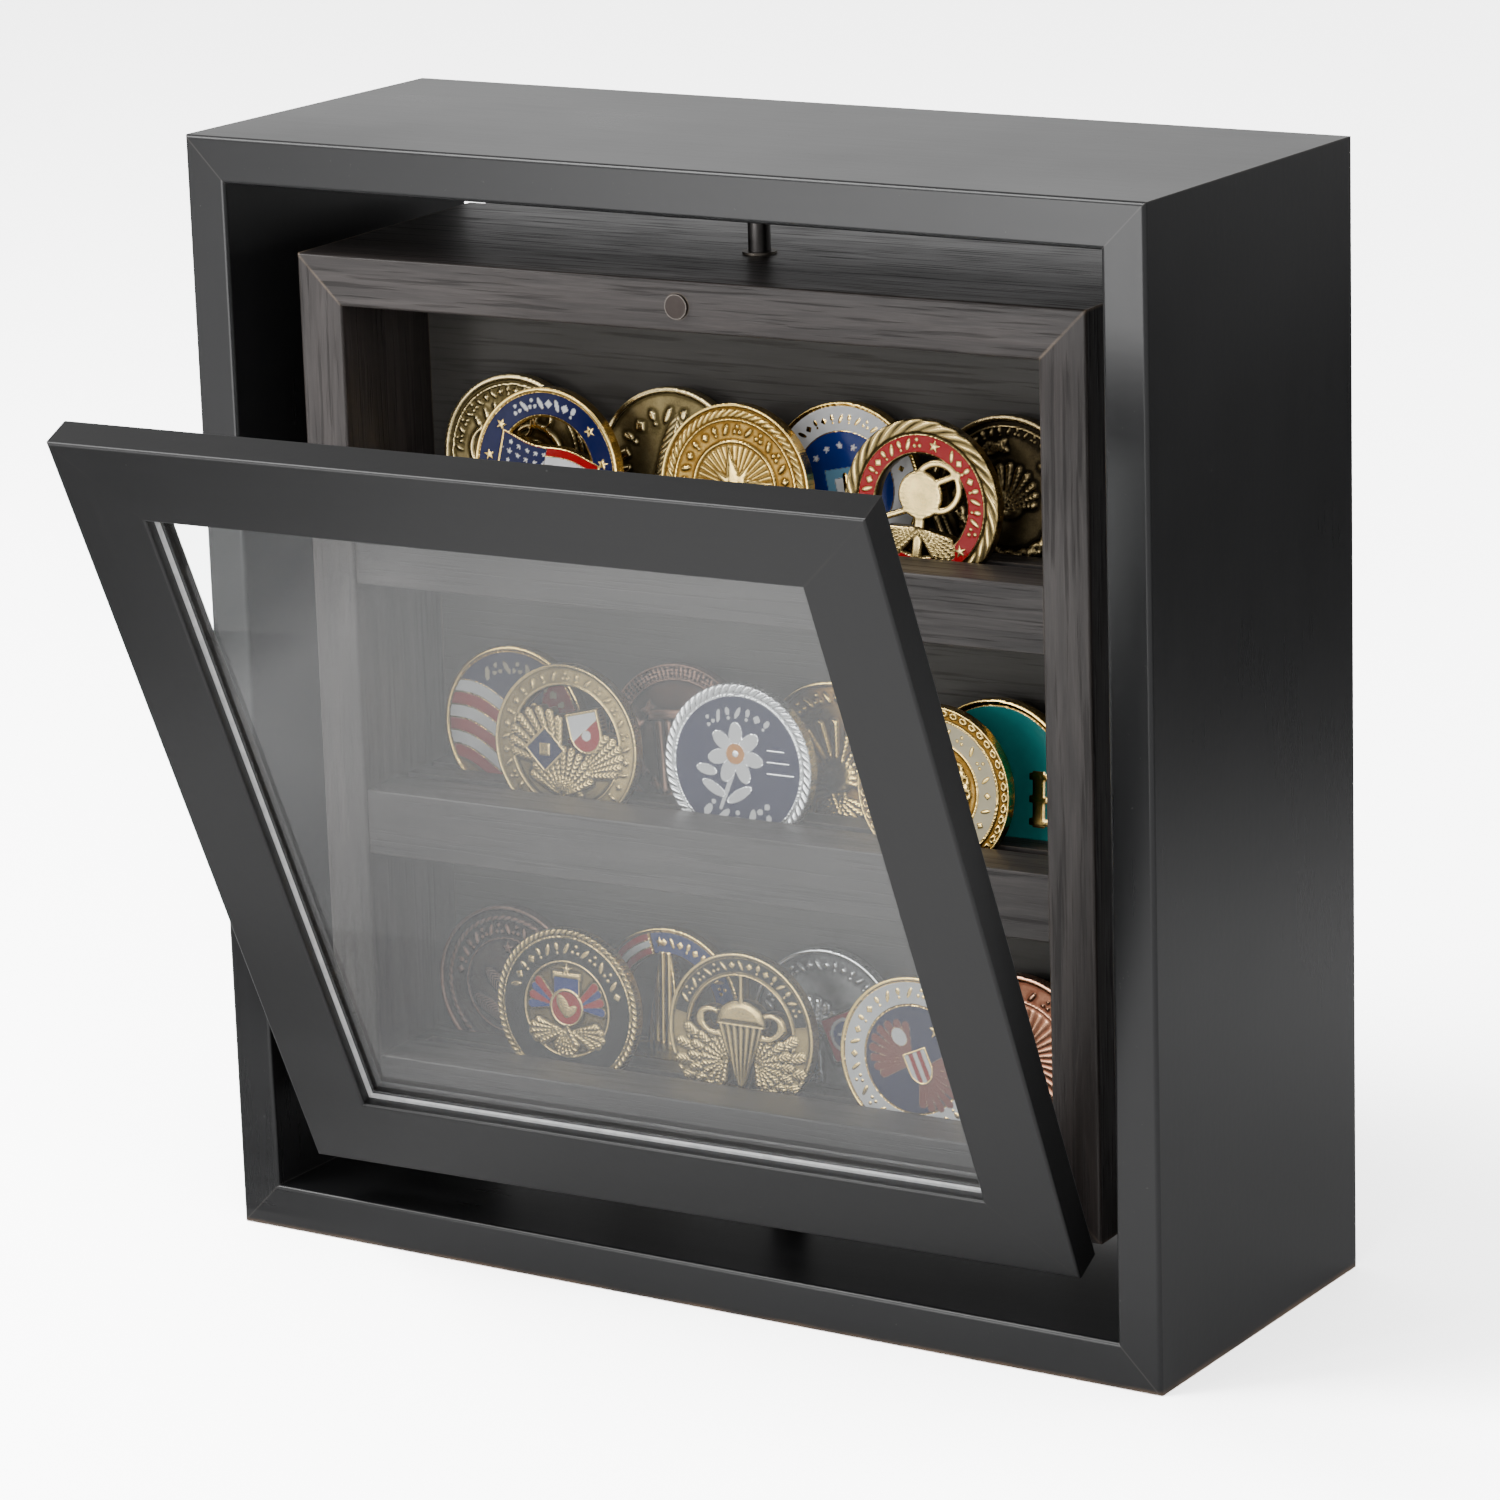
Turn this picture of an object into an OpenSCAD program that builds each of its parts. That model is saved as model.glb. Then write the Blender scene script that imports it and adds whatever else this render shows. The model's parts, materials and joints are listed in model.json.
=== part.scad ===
// Rotating coin display frame.
// A black lacquered frame stands on the table. A two-sided case of stained wood hangs in it
// between two pivot pins and turns about the vertical. Each side of the case has three grooved
// shelves, and a glazed door that drops forward on two butt hinges along its lower edge.
//
// Millimetres, +Z up, front towards -Y. The origin is the middle of the frame's underside.

/* [Outer frame] */
// Overall width of the outer frame
frame_w = 290; // [286:1:310]
// Overall height of the outer frame
frame_h = 305; // [303:1:320]
// Thickness of the outer boards
frame_t = 12.5; // [12:0.1:13]

/* [Case] */
// Width of the turning case, and of its doors
case_w = 234; // [226:1:236]
// Height of the turning case
case_h = 243; // [240:1:244]
// Depth of the turning case without its doors
case_d = 86; // [84:1:88]
// Thickness of the case boards
case_t = 13.5; // [13:0.1:14]
// Height of the case's underside above the table
case_z = 31; // [30:0.5:32]
// Thickness of the panel that parts the two sides
panel_t = 3; // [2.5:0.1:3]
// How far the case stands turned from the frame, in degrees
case_turn = 2.4; // [0:0.1:5]

/* [Shelves] */
// Thickness of the upper shelves
shelf_t = 18; // [17:0.5:19]
// Height of the lowest shelf's top above the case's bottom board
low_shelf_t = 8; // [8:0.1:9]
// Distance from one shelf top to the next
shelf_pitch = 75.2; // [74:0.1:76]
// Depth of the coin grooves in the upper shelves
groove_depth = 9; // [8:0.5:10]
// Width of the coin grooves
groove_w = 4.2; // [4.2:0.1:5]

/* [Doors] */
// Thickness of the door frames
door_t = 10; // [10:0.5:11]
// Width of the door rails and stiles
rail_w = 22.5; // [22:0.5:25]
// Space between a closed door and the case
door_gap = 2; // [2:0.1:2.4]
// How far the front door stands open, in degrees
door_open = 25; // [0:1:90]

/* [Coins] */
// Diameter of a coin
coin_d = 44.5; // [38:0.5:44.5]
// Thickness of a coin
coin_t = 3.5; // [2.5:0.1:3.5]
// How far the coins lean back, in degrees
coin_lean = 3; // [2:0.5:3]

/* [Hidden] */
$fn = 64;

// fits
glue_gap = 0.05;     // round a piece that is glued or pressed in
overlap = 1;         // how far a cutting shape runs past the face it cuts

// colours
black_lacquer = "#1b1b1d";
stained_wood = "#2d2523";
bare_wood = "#b08a5c";
steel = "#a9abad";
bronze = "#9a7b45";

// outer frame and case
frame_d = case_d + 2 * (door_gap + door_t);
frame_edge_r = 1.2;
case_edge_r = 0.8;
inner_w = case_w - 2 * case_t;
case_top = case_z + case_h;
case_floor = case_z + case_t;
spline_t = 2.4;
spline_across = 9;
spline_inset = 12;

// pivots
pin_r = 3;
pin_socket = 9;      // how deep a pin sits in its outer board
bush_wall = 0.65;
bush_proud = 0.6;    // thickness of the flange that stays outside the case
bush_flange_r = 4.6;
bush_l = 10.2;
pin_reach = 9.3;     // how far a pin reaches into the case
run_gap = 0.05;      // radial clearance of a pin in its bush
washer_t = 1;
washer_r = 5.5;
collar_r = 5;

// centre panel and shelves
panel_groove = 3;
shelf_setback = 1;
shelf_d = case_d / 2 - panel_t / 2 - shelf_setback;
shelf_mid_y = -(panel_t / 2 + shelf_d / 2);
front_groove_y = -26;    // front walls of the two grooves
rear_groove_y = -13.7;
slot_end = 4;            // wood left at the ends of the lowest shelf's slots
shelf_edge_r = 0.6;
dowel_r = 2;
dowel_l = 14;
dowel_pitch = 24;
dowel_z = 4.5;           // height of a dowel above its shelf's underside

// doors
door_w = case_w;
door_h = case_h - 1;
door_z = case_z - 0.5;
door_mid_y = -(case_d / 2 + door_gap + door_t / 2);
door_edge_r = 0.8;
lip_t = 4;               // wood in front of the glass
rebate_w = 5;
glass_t = 1.9;
trim_t = 0.9;
window_w = door_w - 2 * rail_w;
window_h = door_h - 2 * rail_w;
key_t = 2.4;
key_across = 8;
key_along = 12;
key_inset = 9.5;

// magnets
magnet_r = 3.25;
magnet_t = 3;
magnet_proud = 0.85;
magnet_z = case_top - case_t / 2;

// hinges
hinge_x = 75;            // middle of each hinge, either side of the door's middle
hinge_l = 24;
hinge_axis_y = -(case_d / 2 + door_gap / 2);
hinge_axis_z = case_z - 2.6;
barrel_r = 2;
hinge_pin_r = 0.95;
leaf_t = 0.9;
leaf_h = 12;
knuckle_gap = 0.2;
screw_r = 1.1;
screw_head_r = 2.1;
screw_l = 8;
screw_x = 7;             // screws either side of a hinge's middle
screw_z = 6.5;           // height of the screws above the leaf's lower edge

// coins
coin_rim = 2.4;
coin_relief = 0.45;
coin_back_play = 0.65;   // from a groove's front wall to the coin's face at the shelf top
top_rear_coins = [-71, -22, 30.4, 77.9];
top_front_coins = [-53.4, 4.4, 59.4];
middle_rear_coins = [-74.8, -22.6, 25.4, 73.5];
middle_front_coins = [-50.7, 2.6, 61];
bottom_rear_coins = [-80.4, -28.9, 19.8, 77.2];
bottom_front_coins = [-53.8, 0.8, 53.6];

// ---- frames that the pieces stand in ----

module turned() {
    rotate([0, 0, case_turn]) children();
}

module rear_side() {
    turned() rotate([0, 0, 180]) children();
}

module front_door_pose() {
    turned()
        translate([0, hinge_axis_y, hinge_axis_z])
            rotate([door_open, 0, 0])
                translate([0, -hinge_axis_y, -hinge_axis_z])
                    children();
}

// ---- boards with mitred ends ----

// A rectangle round the origin with rounded corners
module rounded_section(w, h, r) {
    square([w - 2 * r, h], center = true);
    square([w, h - 2 * r], center = true);
    for (x = [-1, 1], y = [-1, 1])
        translate([x * (w / 2 - r), y * (h / 2 - r)]) circle(r, $fn = 32);
}

// A board along X: outer face down at z = 0, inner face up at z = t, mitred at 45 degrees
module mitred_board(l, t, d, r) {
    intersection() {
        translate([0, 0, t / 2])
            rotate([90, 0, 90])
                linear_extrude(l, center = true) rounded_section(d, t, r);
        rotate([90, 0, 0])
            linear_extrude(d + 2, center = true)
                polygon([[-l / 2, 0], [l / 2, 0], [l / 2 - t, t], [t - l / 2, t]]);
    }
}

// Four loose tongues, one across each mitre of a frame that stands on z = 0
module corner_keys(w, h, inset, size) {
    for (x = [-1, 1], z = [-1, 1])
        translate([x * (w / 2 - inset), 0, h / 2 + z * (h / 2 - inset)])
            rotate([0, x * z * 45, 0])
                cube(size, center = true);
}

// Sets a board of a w by h frame on one of its four sides
module on_side(side, w, h) {
    if (side == "bottom") children();
    if (side == "top") translate([0, 0, h]) mirror([0, 0, 1]) children();
    if (side == "left") translate([-w / 2, 0, h / 2]) rotate([0, 90, 0]) children();
    if (side == "right")
        translate([w / 2, 0, h / 2]) mirror([1, 0, 0]) rotate([0, 90, 0]) children();
}

// ---- outer frame ----

module outer_splines(gap = 0) {
    corner_keys(frame_w, frame_h, frame_t / 2,
        [spline_across + 2 * gap, frame_d - 2 * spline_inset + 2 * gap, spline_t + 2 * gap]);
}

module outer_board(side, l) {
    color(black_lacquer)
        difference() {
            on_side(side, frame_w, frame_h) mitred_board(l, frame_t, frame_d, frame_edge_r);
            outer_splines(glue_gap);
            if (side == "top")
                translate([0, 0, frame_h - frame_t - overlap])
                    cylinder(r = pin_r + glue_gap, h = pin_socket + glue_gap + overlap);
            if (side == "bottom")
                translate([0, 0, frame_t - pin_socket - glue_gap])
                    cylinder(r = pin_r + glue_gap, h = pin_socket + glue_gap + overlap);
        }
}

module outer_top_board() { outer_board("top", frame_w); }
module outer_bottom_board() { outer_board("bottom", frame_w); }
module outer_left_board() { outer_board("left", frame_h); }
module outer_right_board() { outer_board("right", frame_h); }
module outer_mitre_splines() { color(bare_wood) outer_splines(); }

module top_pivot_pin() {
    color(steel)
        translate([0, 0, case_top - pin_reach])
            cylinder(r = pin_r, h = pin_reach + frame_h - frame_t + pin_socket - case_top);
}

// The lower pin's collar carries the case through the washer
module bottom_pivot_pin() {
    collar_top = case_z - bush_proud - washer_t;
    color(steel) {
        translate([0, 0, frame_t - pin_socket])
            cylinder(r = pin_r, h = case_z + pin_reach - frame_t + pin_socket);
        translate([0, 0, frame_t]) cylinder(r = collar_r, h = collar_top - frame_t);
    }
}

// ---- case ----

module case_splines(gap = 0) {
    translate([0, 0, case_z])
        corner_keys(case_w, case_h, case_t / 2,
            [spline_across + 2 * gap, case_d - 2 * spline_inset + 2 * gap, spline_t + 2 * gap]);
}

// The panel stands in grooves round the inside of the case
module panel_body(gap = 0) {
    edge = panel_groove + gap;
    translate([-inner_w / 2 - edge, -panel_t / 2 - gap, case_floor - edge])
        cube([inner_w + 2 * edge, panel_t + 2 * gap, case_h - 2 * case_t + 2 * edge]);
}

module case_board(side, l) {
    color(stained_wood)
        turned()
            difference() {
                translate([0, 0, case_z])
                    on_side(side, case_w, case_h) mitred_board(l, case_t, case_d, case_edge_r);
                case_splines(glue_gap);
                panel_body(glue_gap);
                if (side == "top" || side == "bottom") {
                    bush_hole(side);
                    both_sides() magnet(glue_gap);
                    both_sides() case_screws(glue_gap);
                }
                if (side == "left" || side == "right") dowels(glue_gap);
            }
}

module both_sides() {
    children();
    rotate([0, 0, 180]) children();
}

module bush_hole(side) {
    z = side == "top" ? case_top - bush_l + bush_proud - glue_gap : case_z - overlap;
    translate([0, 0, z]) cylinder(r = pin_r + run_gap + bush_wall + glue_gap, h = bush_l + overlap);
}

// A flanged bush that stands up from its flange at z = 0
module bush() {
    difference() {
        union() {
            cylinder(r = pin_r + run_gap + bush_wall, h = bush_l);
            cylinder(r = bush_flange_r, h = bush_proud);
        }
        translate([0, 0, -overlap])
            cylinder(r = pin_r + run_gap, h = bush_l + 2 * overlap);
    }
}

module case_top_board() { case_board("top", case_w); }
module case_bottom_board() { case_board("bottom", case_w); }
module case_left_board() { case_board("left", case_h); }
module case_right_board() { case_board("right", case_h); }
module case_mitre_splines() { color(bare_wood) turned() case_splines(); }

module centre_panel() { color(stained_wood) turned() panel_body(); }

module top_pivot_bush() {
    color(steel) translate([0, 0, case_top + bush_proud]) mirror([0, 0, 1]) bush();
}
module bottom_pivot_bush() { color(steel) translate([0, 0, case_z - bush_proud]) bush(); }

module thrust_washer() {
    color("ivory")
        translate([0, 0, case_z - bush_proud - washer_t])
            difference() {
                cylinder(r = washer_r, h = washer_t);
                translate([0, 0, -overlap])
                    cylinder(r = pin_r + run_gap, h = washer_t + 2 * overlap);
            }
}

// ---- shelves ----

low_shelf_top = case_floor + low_shelf_t;
function shelf_top(level) = low_shelf_top + level * shelf_pitch;

// A shelf of the front side; level 0 is the lowest, and its slots go right through
module shelf(level) {
    t = level == 0 ? low_shelf_t : shelf_t;
    cut = level == 0 ? low_shelf_t + overlap : groove_depth;
    cut_l = level == 0 ? inner_w - 2 * slot_end : inner_w + 2 * overlap;
    difference() {
        translate([0, shelf_mid_y, shelf_top(level) - t / 2])
            rotate([90, 0, 90])
                linear_extrude(inner_w, center = true) rounded_section(shelf_d, t, shelf_edge_r);
        for (y = [front_groove_y, rear_groove_y])
            translate([-cut_l / 2, y, shelf_top(level) - cut])
                cube([cut_l, groove_w, cut + overlap]);
        dowels(glue_gap);
    }
}

// Two dowels in each end of the upper shelves, below the grooves
module side_dowels(gap) {
    for (level = [1, 2], x = [-1, 1], y = [-dowel_pitch / 2, dowel_pitch / 2])
        translate([x * inner_w / 2, shelf_mid_y + y, shelf_top(level) - shelf_t + dowel_z])
            rotate([0, 90, 0])
                cylinder(r = dowel_r + gap, h = dowel_l + 2 * gap, center = true, $fn = 32);
}

module dowels(gap = 0) {
    both_sides() side_dowels(gap);
}

module front_top_shelf() { color(stained_wood) turned() shelf(2); }
module front_middle_shelf() { color(stained_wood) turned() shelf(1); }
module front_bottom_shelf() { color(stained_wood) turned() shelf(0); }
module rear_top_shelf() { color(stained_wood) rear_side() shelf(2); }
module rear_middle_shelf() { color(stained_wood) rear_side() shelf(1); }
module rear_bottom_shelf() { color(stained_wood) rear_side() shelf(0); }
module shelf_dowels() { color(bare_wood) turned() dowels(); }

// ---- magnets ----

// Stands in the case's front face; the door's magnet meets it
module magnet(gap = 0) {
    depth = magnet_t - magnet_proud + gap;
    translate([0, depth - case_d / 2, magnet_z])
        rotate([90, 0, 0])
            cylinder(r = magnet_r + gap, h = depth + magnet_proud + gap);
}

module door_magnet(gap = 0) {
    translate([0, magnet_proud + gap - case_d / 2 - door_gap, magnet_z])
        rotate([90, 0, 0])
            cylinder(r = magnet_r + gap, h = magnet_t + 2 * gap);
}

module front_case_magnet() { color(steel) turned() magnet(); }
module rear_case_magnet() { color(steel) rear_side() magnet(); }

// ---- hinges ----

module at_hinges() {
    for (x = [-hinge_x, hinge_x]) translate([x, 0, 0]) children();
}

// One knuckle from x0 to x1 with the neck that joins it to its leaf
module knuckle(x0, x1, leaf_y) {
    translate([x0, hinge_axis_y, hinge_axis_z])
        rotate([0, 90, 0])
            cylinder(r = barrel_r, h = x1 - x0);
    translate([x0, leaf_y, hinge_axis_z])
        cube([x1 - x0, leaf_t, case_z + overlap - hinge_axis_z]);
}

module hinge_bore() {
    translate([-hinge_l / 2 - overlap, hinge_axis_y, hinge_axis_z])
        rotate([0, 90, 0])
            cylinder(r = hinge_pin_r + run_gap, h = hinge_l + 2 * overlap);
}

module leaf_plate(leaf_y) {
    translate([-hinge_l / 2, leaf_y, case_z]) cube([hinge_l, leaf_t, leaf_h]);
}

// The case's leaf has the two outer knuckles, the door's leaf the middle one
module case_leaf() {
    y = -case_d / 2 - leaf_t;
    third = hinge_l / 3;
    difference() {
        union() {
            leaf_plate(y);
            knuckle(-hinge_l / 2, -third / 2 - knuckle_gap, y);
            knuckle(third / 2 + knuckle_gap, hinge_l / 2, y);
        }
        hinge_bore();
    }
}

module door_leaf() {
    y = -case_d / 2 - door_gap;
    third = hinge_l / 3;
    difference() {
        union() {
            leaf_plate(y);
            knuckle(knuckle_gap - third / 2, third / 2 - knuckle_gap, y);
        }
        hinge_bore();
    }
}

// A countersunk cross-head screw along +Y, its head's face at y = 0
module wood_screw(gap = 0) {
    head_t = leaf_t - 0.1;
    rotate([-90, 0, 0])
        difference() {
            union() {
                cylinder(r1 = screw_head_r + gap, r2 = screw_r + gap, h = head_t);
                cylinder(r = screw_r + gap, h = screw_l - 1.5 + gap);
                translate([0, 0, screw_l - 1.5 + gap])
                    cylinder(r1 = screw_r + gap, r2 = 0.2, h = 1.5);
            }
            if (gap == 0)
                for (a = [0, 90])
                    rotate([0, 0, a]) cube([2.4, 0.5, 0.9], center = true);
        }
}

module leaf_screw_places() {
    at_hinges()
        for (x = [-screw_x, screw_x])
            translate([x, 0, case_z + screw_z]) children();
}

module case_screws(gap = 0) {
    leaf_screw_places()
        translate([0, -case_d / 2 - leaf_t, 0]) wood_screw(gap);
}

module door_screws(gap = 0) {
    leaf_screw_places()
        translate([0, leaf_t - case_d / 2 - door_gap, 0])
            mirror([0, 1, 0]) wood_screw(gap);
}

module hinge_case_leaves() {
    difference() {
        at_hinges() case_leaf();
        case_screws(glue_gap);
    }
}

module hinge_door_leaves() {
    difference() {
        at_hinges() door_leaf();
        door_screws(glue_gap);
    }
}

module hinge_pins() {
    at_hinges()
        translate([-hinge_l / 2, hinge_axis_y, hinge_axis_z])
            rotate([0, 90, 0])
                cylinder(r = hinge_pin_r, h = hinge_l);
}

module front_hinge_case_leaves() { color(bronze) turned() hinge_case_leaves(); }
module front_hinge_pins() { color(steel) turned() hinge_pins(); }
module front_case_leaf_screws() { color(bronze) turned() case_screws(); }
module rear_hinge_case_leaves() { color(bronze) rear_side() hinge_case_leaves(); }
module rear_hinge_pins() { color(steel) rear_side() hinge_pins(); }
module rear_case_leaf_screws() { color(bronze) rear_side() case_screws(); }

// ---- coins ----

// A coin that faces -Y, with a raised rim on both faces
module coin() {
    r = coin_d / 2;
    rotate([90, 0, 0])
        difference() {
            cylinder(r = r, h = coin_t, center = true, $fn = 96);
            for (side = [-1, 1])
                translate([0, 0, side * (coin_t - coin_relief)])
                    cylinder(r = r - coin_rim, h = coin_t, center = true, $fn = 96);
        }
}

// Coins on one shelf, leaning back in the groove whose front wall is at groove_y
module coin_row(places, level, groove_y) {
    top = shelf_top(level);
    depth = level == 0 ? low_shelf_t : groove_depth;
    rise = coin_d / 2 * cos(coin_lean) + coin_t / 2 * sin(coin_lean);
    z = top - depth + glue_gap + rise;
    up = (top - z - sin(coin_lean) * coin_t / 2) * tan(coin_lean);
    y = groove_y + coin_back_play + cos(coin_lean) * coin_t / 2 - up;
    color(bronze)
        turned()
            for (x = places)
                translate([x, y, z]) rotate([-coin_lean, 0, 0]) coin();
}

module top_rear_row_coins() { coin_row(top_rear_coins, 2, rear_groove_y); }
module top_front_row_coins() { coin_row(top_front_coins, 2, front_groove_y); }
module middle_rear_row_coins() { coin_row(middle_rear_coins, 1, rear_groove_y); }
module middle_front_row_coins() { coin_row(middle_front_coins, 1, front_groove_y); }
module bottom_rear_row_coins() { coin_row(bottom_rear_coins, 0, rear_groove_y); }
module bottom_front_row_coins() { coin_row(bottom_front_coins, 0, front_groove_y); }

// ---- doors, in the closed place on the front side ----

module door_keys(gap = 0) {
    translate([0, door_mid_y - door_t / 2 + lip_t + key_t / 2, door_z])
        corner_keys(door_w, door_h, key_inset,
            [key_across + 2 * gap, key_t + 2 * gap, key_along + 2 * gap]);
}

// The step behind the lip, all round the window, that takes the glass and the beads
module rebate() {
    translate([0, door_mid_y - door_t / 2 + lip_t, door_z + rail_w - rebate_w])
        translate([-window_w / 2 - rebate_w, 0, 0])
            cube([window_w + 2 * rebate_w, door_t, window_h + 2 * rebate_w]);
}

module door_member(side, l) {
    difference() {
        translate([0, door_mid_y, door_z])
            on_side(side, door_w, door_h) mitred_board(l, rail_w, door_t, door_edge_r);
        rebate();
        door_keys(glue_gap);
        if (side == "top") door_magnet(glue_gap);
        if (side == "bottom") door_screws(glue_gap);
    }
}

module glass() {
    edge = rebate_w - 0.2;
    translate([-window_w / 2 - edge, door_mid_y - door_t / 2 + lip_t + glue_gap,
            door_z + rail_w - edge])
        cube([window_w + 2 * edge, glass_t, window_h + 2 * edge]);
}

// A thin bright strip inside the window, against the glass
module window_trim() {
    y = door_mid_y - door_t / 2 + lip_t - trim_t;
    difference() {
        translate([-window_w / 2, y, door_z + rail_w]) cube([window_w, trim_t, window_h]);
        translate([trim_t - window_w / 2, y - overlap, door_z + rail_w + trim_t])
            cube([window_w - 2 * trim_t, trim_t + 2 * overlap, window_h - 2 * trim_t]);
    }
}

module glazing_beads() {
    bead_d = door_t - lip_t - glass_t - 2 * glue_gap;
    w = window_w + 2 * rebate_w - 2 * glue_gap;
    h = window_h + 2 * rebate_w - 2 * glue_gap;
    translate([0, door_mid_y + door_t / 2 - bead_d / 2, door_z + rail_w - rebate_w + glue_gap])
        for (side = ["bottom", "top", "left", "right"])
            on_side(side, w, h)
                mitred_board((side == "bottom" || side == "top" ? w : h) - 0.2,
                    rebate_w - 2 * glue_gap, bead_d, 0.4);
}

module front_door_top_rail() { color(black_lacquer) front_door_pose() door_member("top", door_w); }
module front_door_bottom_rail() {
    color(black_lacquer) front_door_pose() door_member("bottom", door_w);
}
module front_door_left_stile() {
    color(black_lacquer) front_door_pose() door_member("left", door_h);
}
module front_door_right_stile() {
    color(black_lacquer) front_door_pose() door_member("right", door_h);
}
module front_door_corner_keys() { color(bare_wood) front_door_pose() door_keys(); }
module front_door_glass() { color("lightblue", 0.3) front_door_pose() glass(); }
module front_door_window_trim() { color(steel) front_door_pose() window_trim(); }
module front_door_glazing_beads() { color(black_lacquer) front_door_pose() glazing_beads(); }
module front_door_magnet() { color(steel) front_door_pose() door_magnet(); }
module front_hinge_door_leaves() { color(bronze) front_door_pose() hinge_door_leaves(); }
module front_door_leaf_screws() { color(bronze) front_door_pose() door_screws(); }

module rear_door_top_rail() { color(black_lacquer) rear_side() door_member("top", door_w); }
module rear_door_bottom_rail() { color(black_lacquer) rear_side() door_member("bottom", door_w); }
module rear_door_left_stile() { color(black_lacquer) rear_side() door_member("left", door_h); }
module rear_door_right_stile() { color(black_lacquer) rear_side() door_member("right", door_h); }
module rear_door_corner_keys() { color(bare_wood) rear_side() door_keys(); }
module rear_door_glass() { color("lightblue", 0.3) rear_side() glass(); }
module rear_door_window_trim() { color(steel) rear_side() window_trim(); }
module rear_door_glazing_beads() { color(black_lacquer) rear_side() glazing_beads(); }
module rear_door_magnet() { color(steel) rear_side() door_magnet(); }
module rear_hinge_door_leaves() { color(bronze) rear_side() hinge_door_leaves(); }
module rear_door_leaf_screws() { color(bronze) rear_side() door_screws(); }

outer_top_board();
outer_bottom_board();
outer_left_board();
outer_right_board();
outer_mitre_splines();
top_pivot_pin();
bottom_pivot_pin();
case_top_board();
case_bottom_board();
case_left_board();
case_right_board();
case_mitre_splines();
centre_panel();
top_pivot_bush();
bottom_pivot_bush();
thrust_washer();
front_top_shelf();
front_middle_shelf();
front_bottom_shelf();
rear_top_shelf();
rear_middle_shelf();
rear_bottom_shelf();
shelf_dowels();
front_case_magnet();
rear_case_magnet();
front_hinge_case_leaves();
front_hinge_pins();
front_case_leaf_screws();
rear_hinge_case_leaves();
rear_hinge_pins();
rear_case_leaf_screws();
top_rear_row_coins();
top_front_row_coins();
middle_rear_row_coins();
middle_front_row_coins();
bottom_rear_row_coins();
bottom_front_row_coins();
front_door_top_rail();
front_door_bottom_rail();
front_door_left_stile();
front_door_right_stile();
front_door_corner_keys();
front_door_glass();
front_door_window_trim();
front_door_glazing_beads();
front_door_magnet();
front_hinge_door_leaves();
front_door_leaf_screws();
rear_door_top_rail();
rear_door_bottom_rail();
rear_door_left_stile();
rear_door_right_stile();
rear_door_corner_keys();
rear_door_glass();
rear_door_window_trim();
rear_door_glazing_beads();
rear_door_magnet();
rear_hinge_door_leaves();
rear_door_leaf_screws();
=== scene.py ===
import json
import math

import bmesh
import bpy
import numpy as np
from mathutils import Matrix, Vector

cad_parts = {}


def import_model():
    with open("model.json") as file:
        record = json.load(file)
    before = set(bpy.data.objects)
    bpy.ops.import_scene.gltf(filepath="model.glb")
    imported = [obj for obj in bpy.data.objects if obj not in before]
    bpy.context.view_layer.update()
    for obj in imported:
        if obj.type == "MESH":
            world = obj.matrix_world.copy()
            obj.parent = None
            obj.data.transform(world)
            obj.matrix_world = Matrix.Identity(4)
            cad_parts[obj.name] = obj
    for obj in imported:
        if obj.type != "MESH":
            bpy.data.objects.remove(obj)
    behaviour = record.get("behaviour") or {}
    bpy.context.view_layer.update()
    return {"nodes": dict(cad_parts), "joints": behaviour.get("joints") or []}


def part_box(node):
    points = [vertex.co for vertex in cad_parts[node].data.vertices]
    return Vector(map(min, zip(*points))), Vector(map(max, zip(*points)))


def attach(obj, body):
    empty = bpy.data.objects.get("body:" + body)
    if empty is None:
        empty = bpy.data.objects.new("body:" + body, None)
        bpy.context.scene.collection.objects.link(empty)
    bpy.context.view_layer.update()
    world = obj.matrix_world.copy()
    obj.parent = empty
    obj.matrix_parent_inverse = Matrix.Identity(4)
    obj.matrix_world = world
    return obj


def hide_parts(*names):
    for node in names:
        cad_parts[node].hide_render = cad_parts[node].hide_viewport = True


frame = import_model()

MM = 0.001
M_TO_MM = 1000

NODES = frame["nodes"]
JOINTS = {j["name"]: j for j in frame["joints"]}
SCENE = bpy.context.scene

# How the case and the front door stand at rest, from the joints
DOOR_AXIS = Vector(JOINTS["front_door_hinge"]["axis"])
CASE_TURN = math.atan2(DOOR_AXIS.y, DOOR_AXIS.x)
DOOR_OPEN = math.radians(-JOINTS["front_door_hinge"]["range_deg"][0])
CASE_ROT = Matrix.Rotation(CASE_TURN, 3, "Z")
DOOR_ROT = CASE_ROT @ Matrix.Rotation(DOOR_OPEN, 3, "X")
FRAME_HI = Vector(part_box("outer_top_board")[1])


# ---------------------------------------------------------------- node helpers

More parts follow.
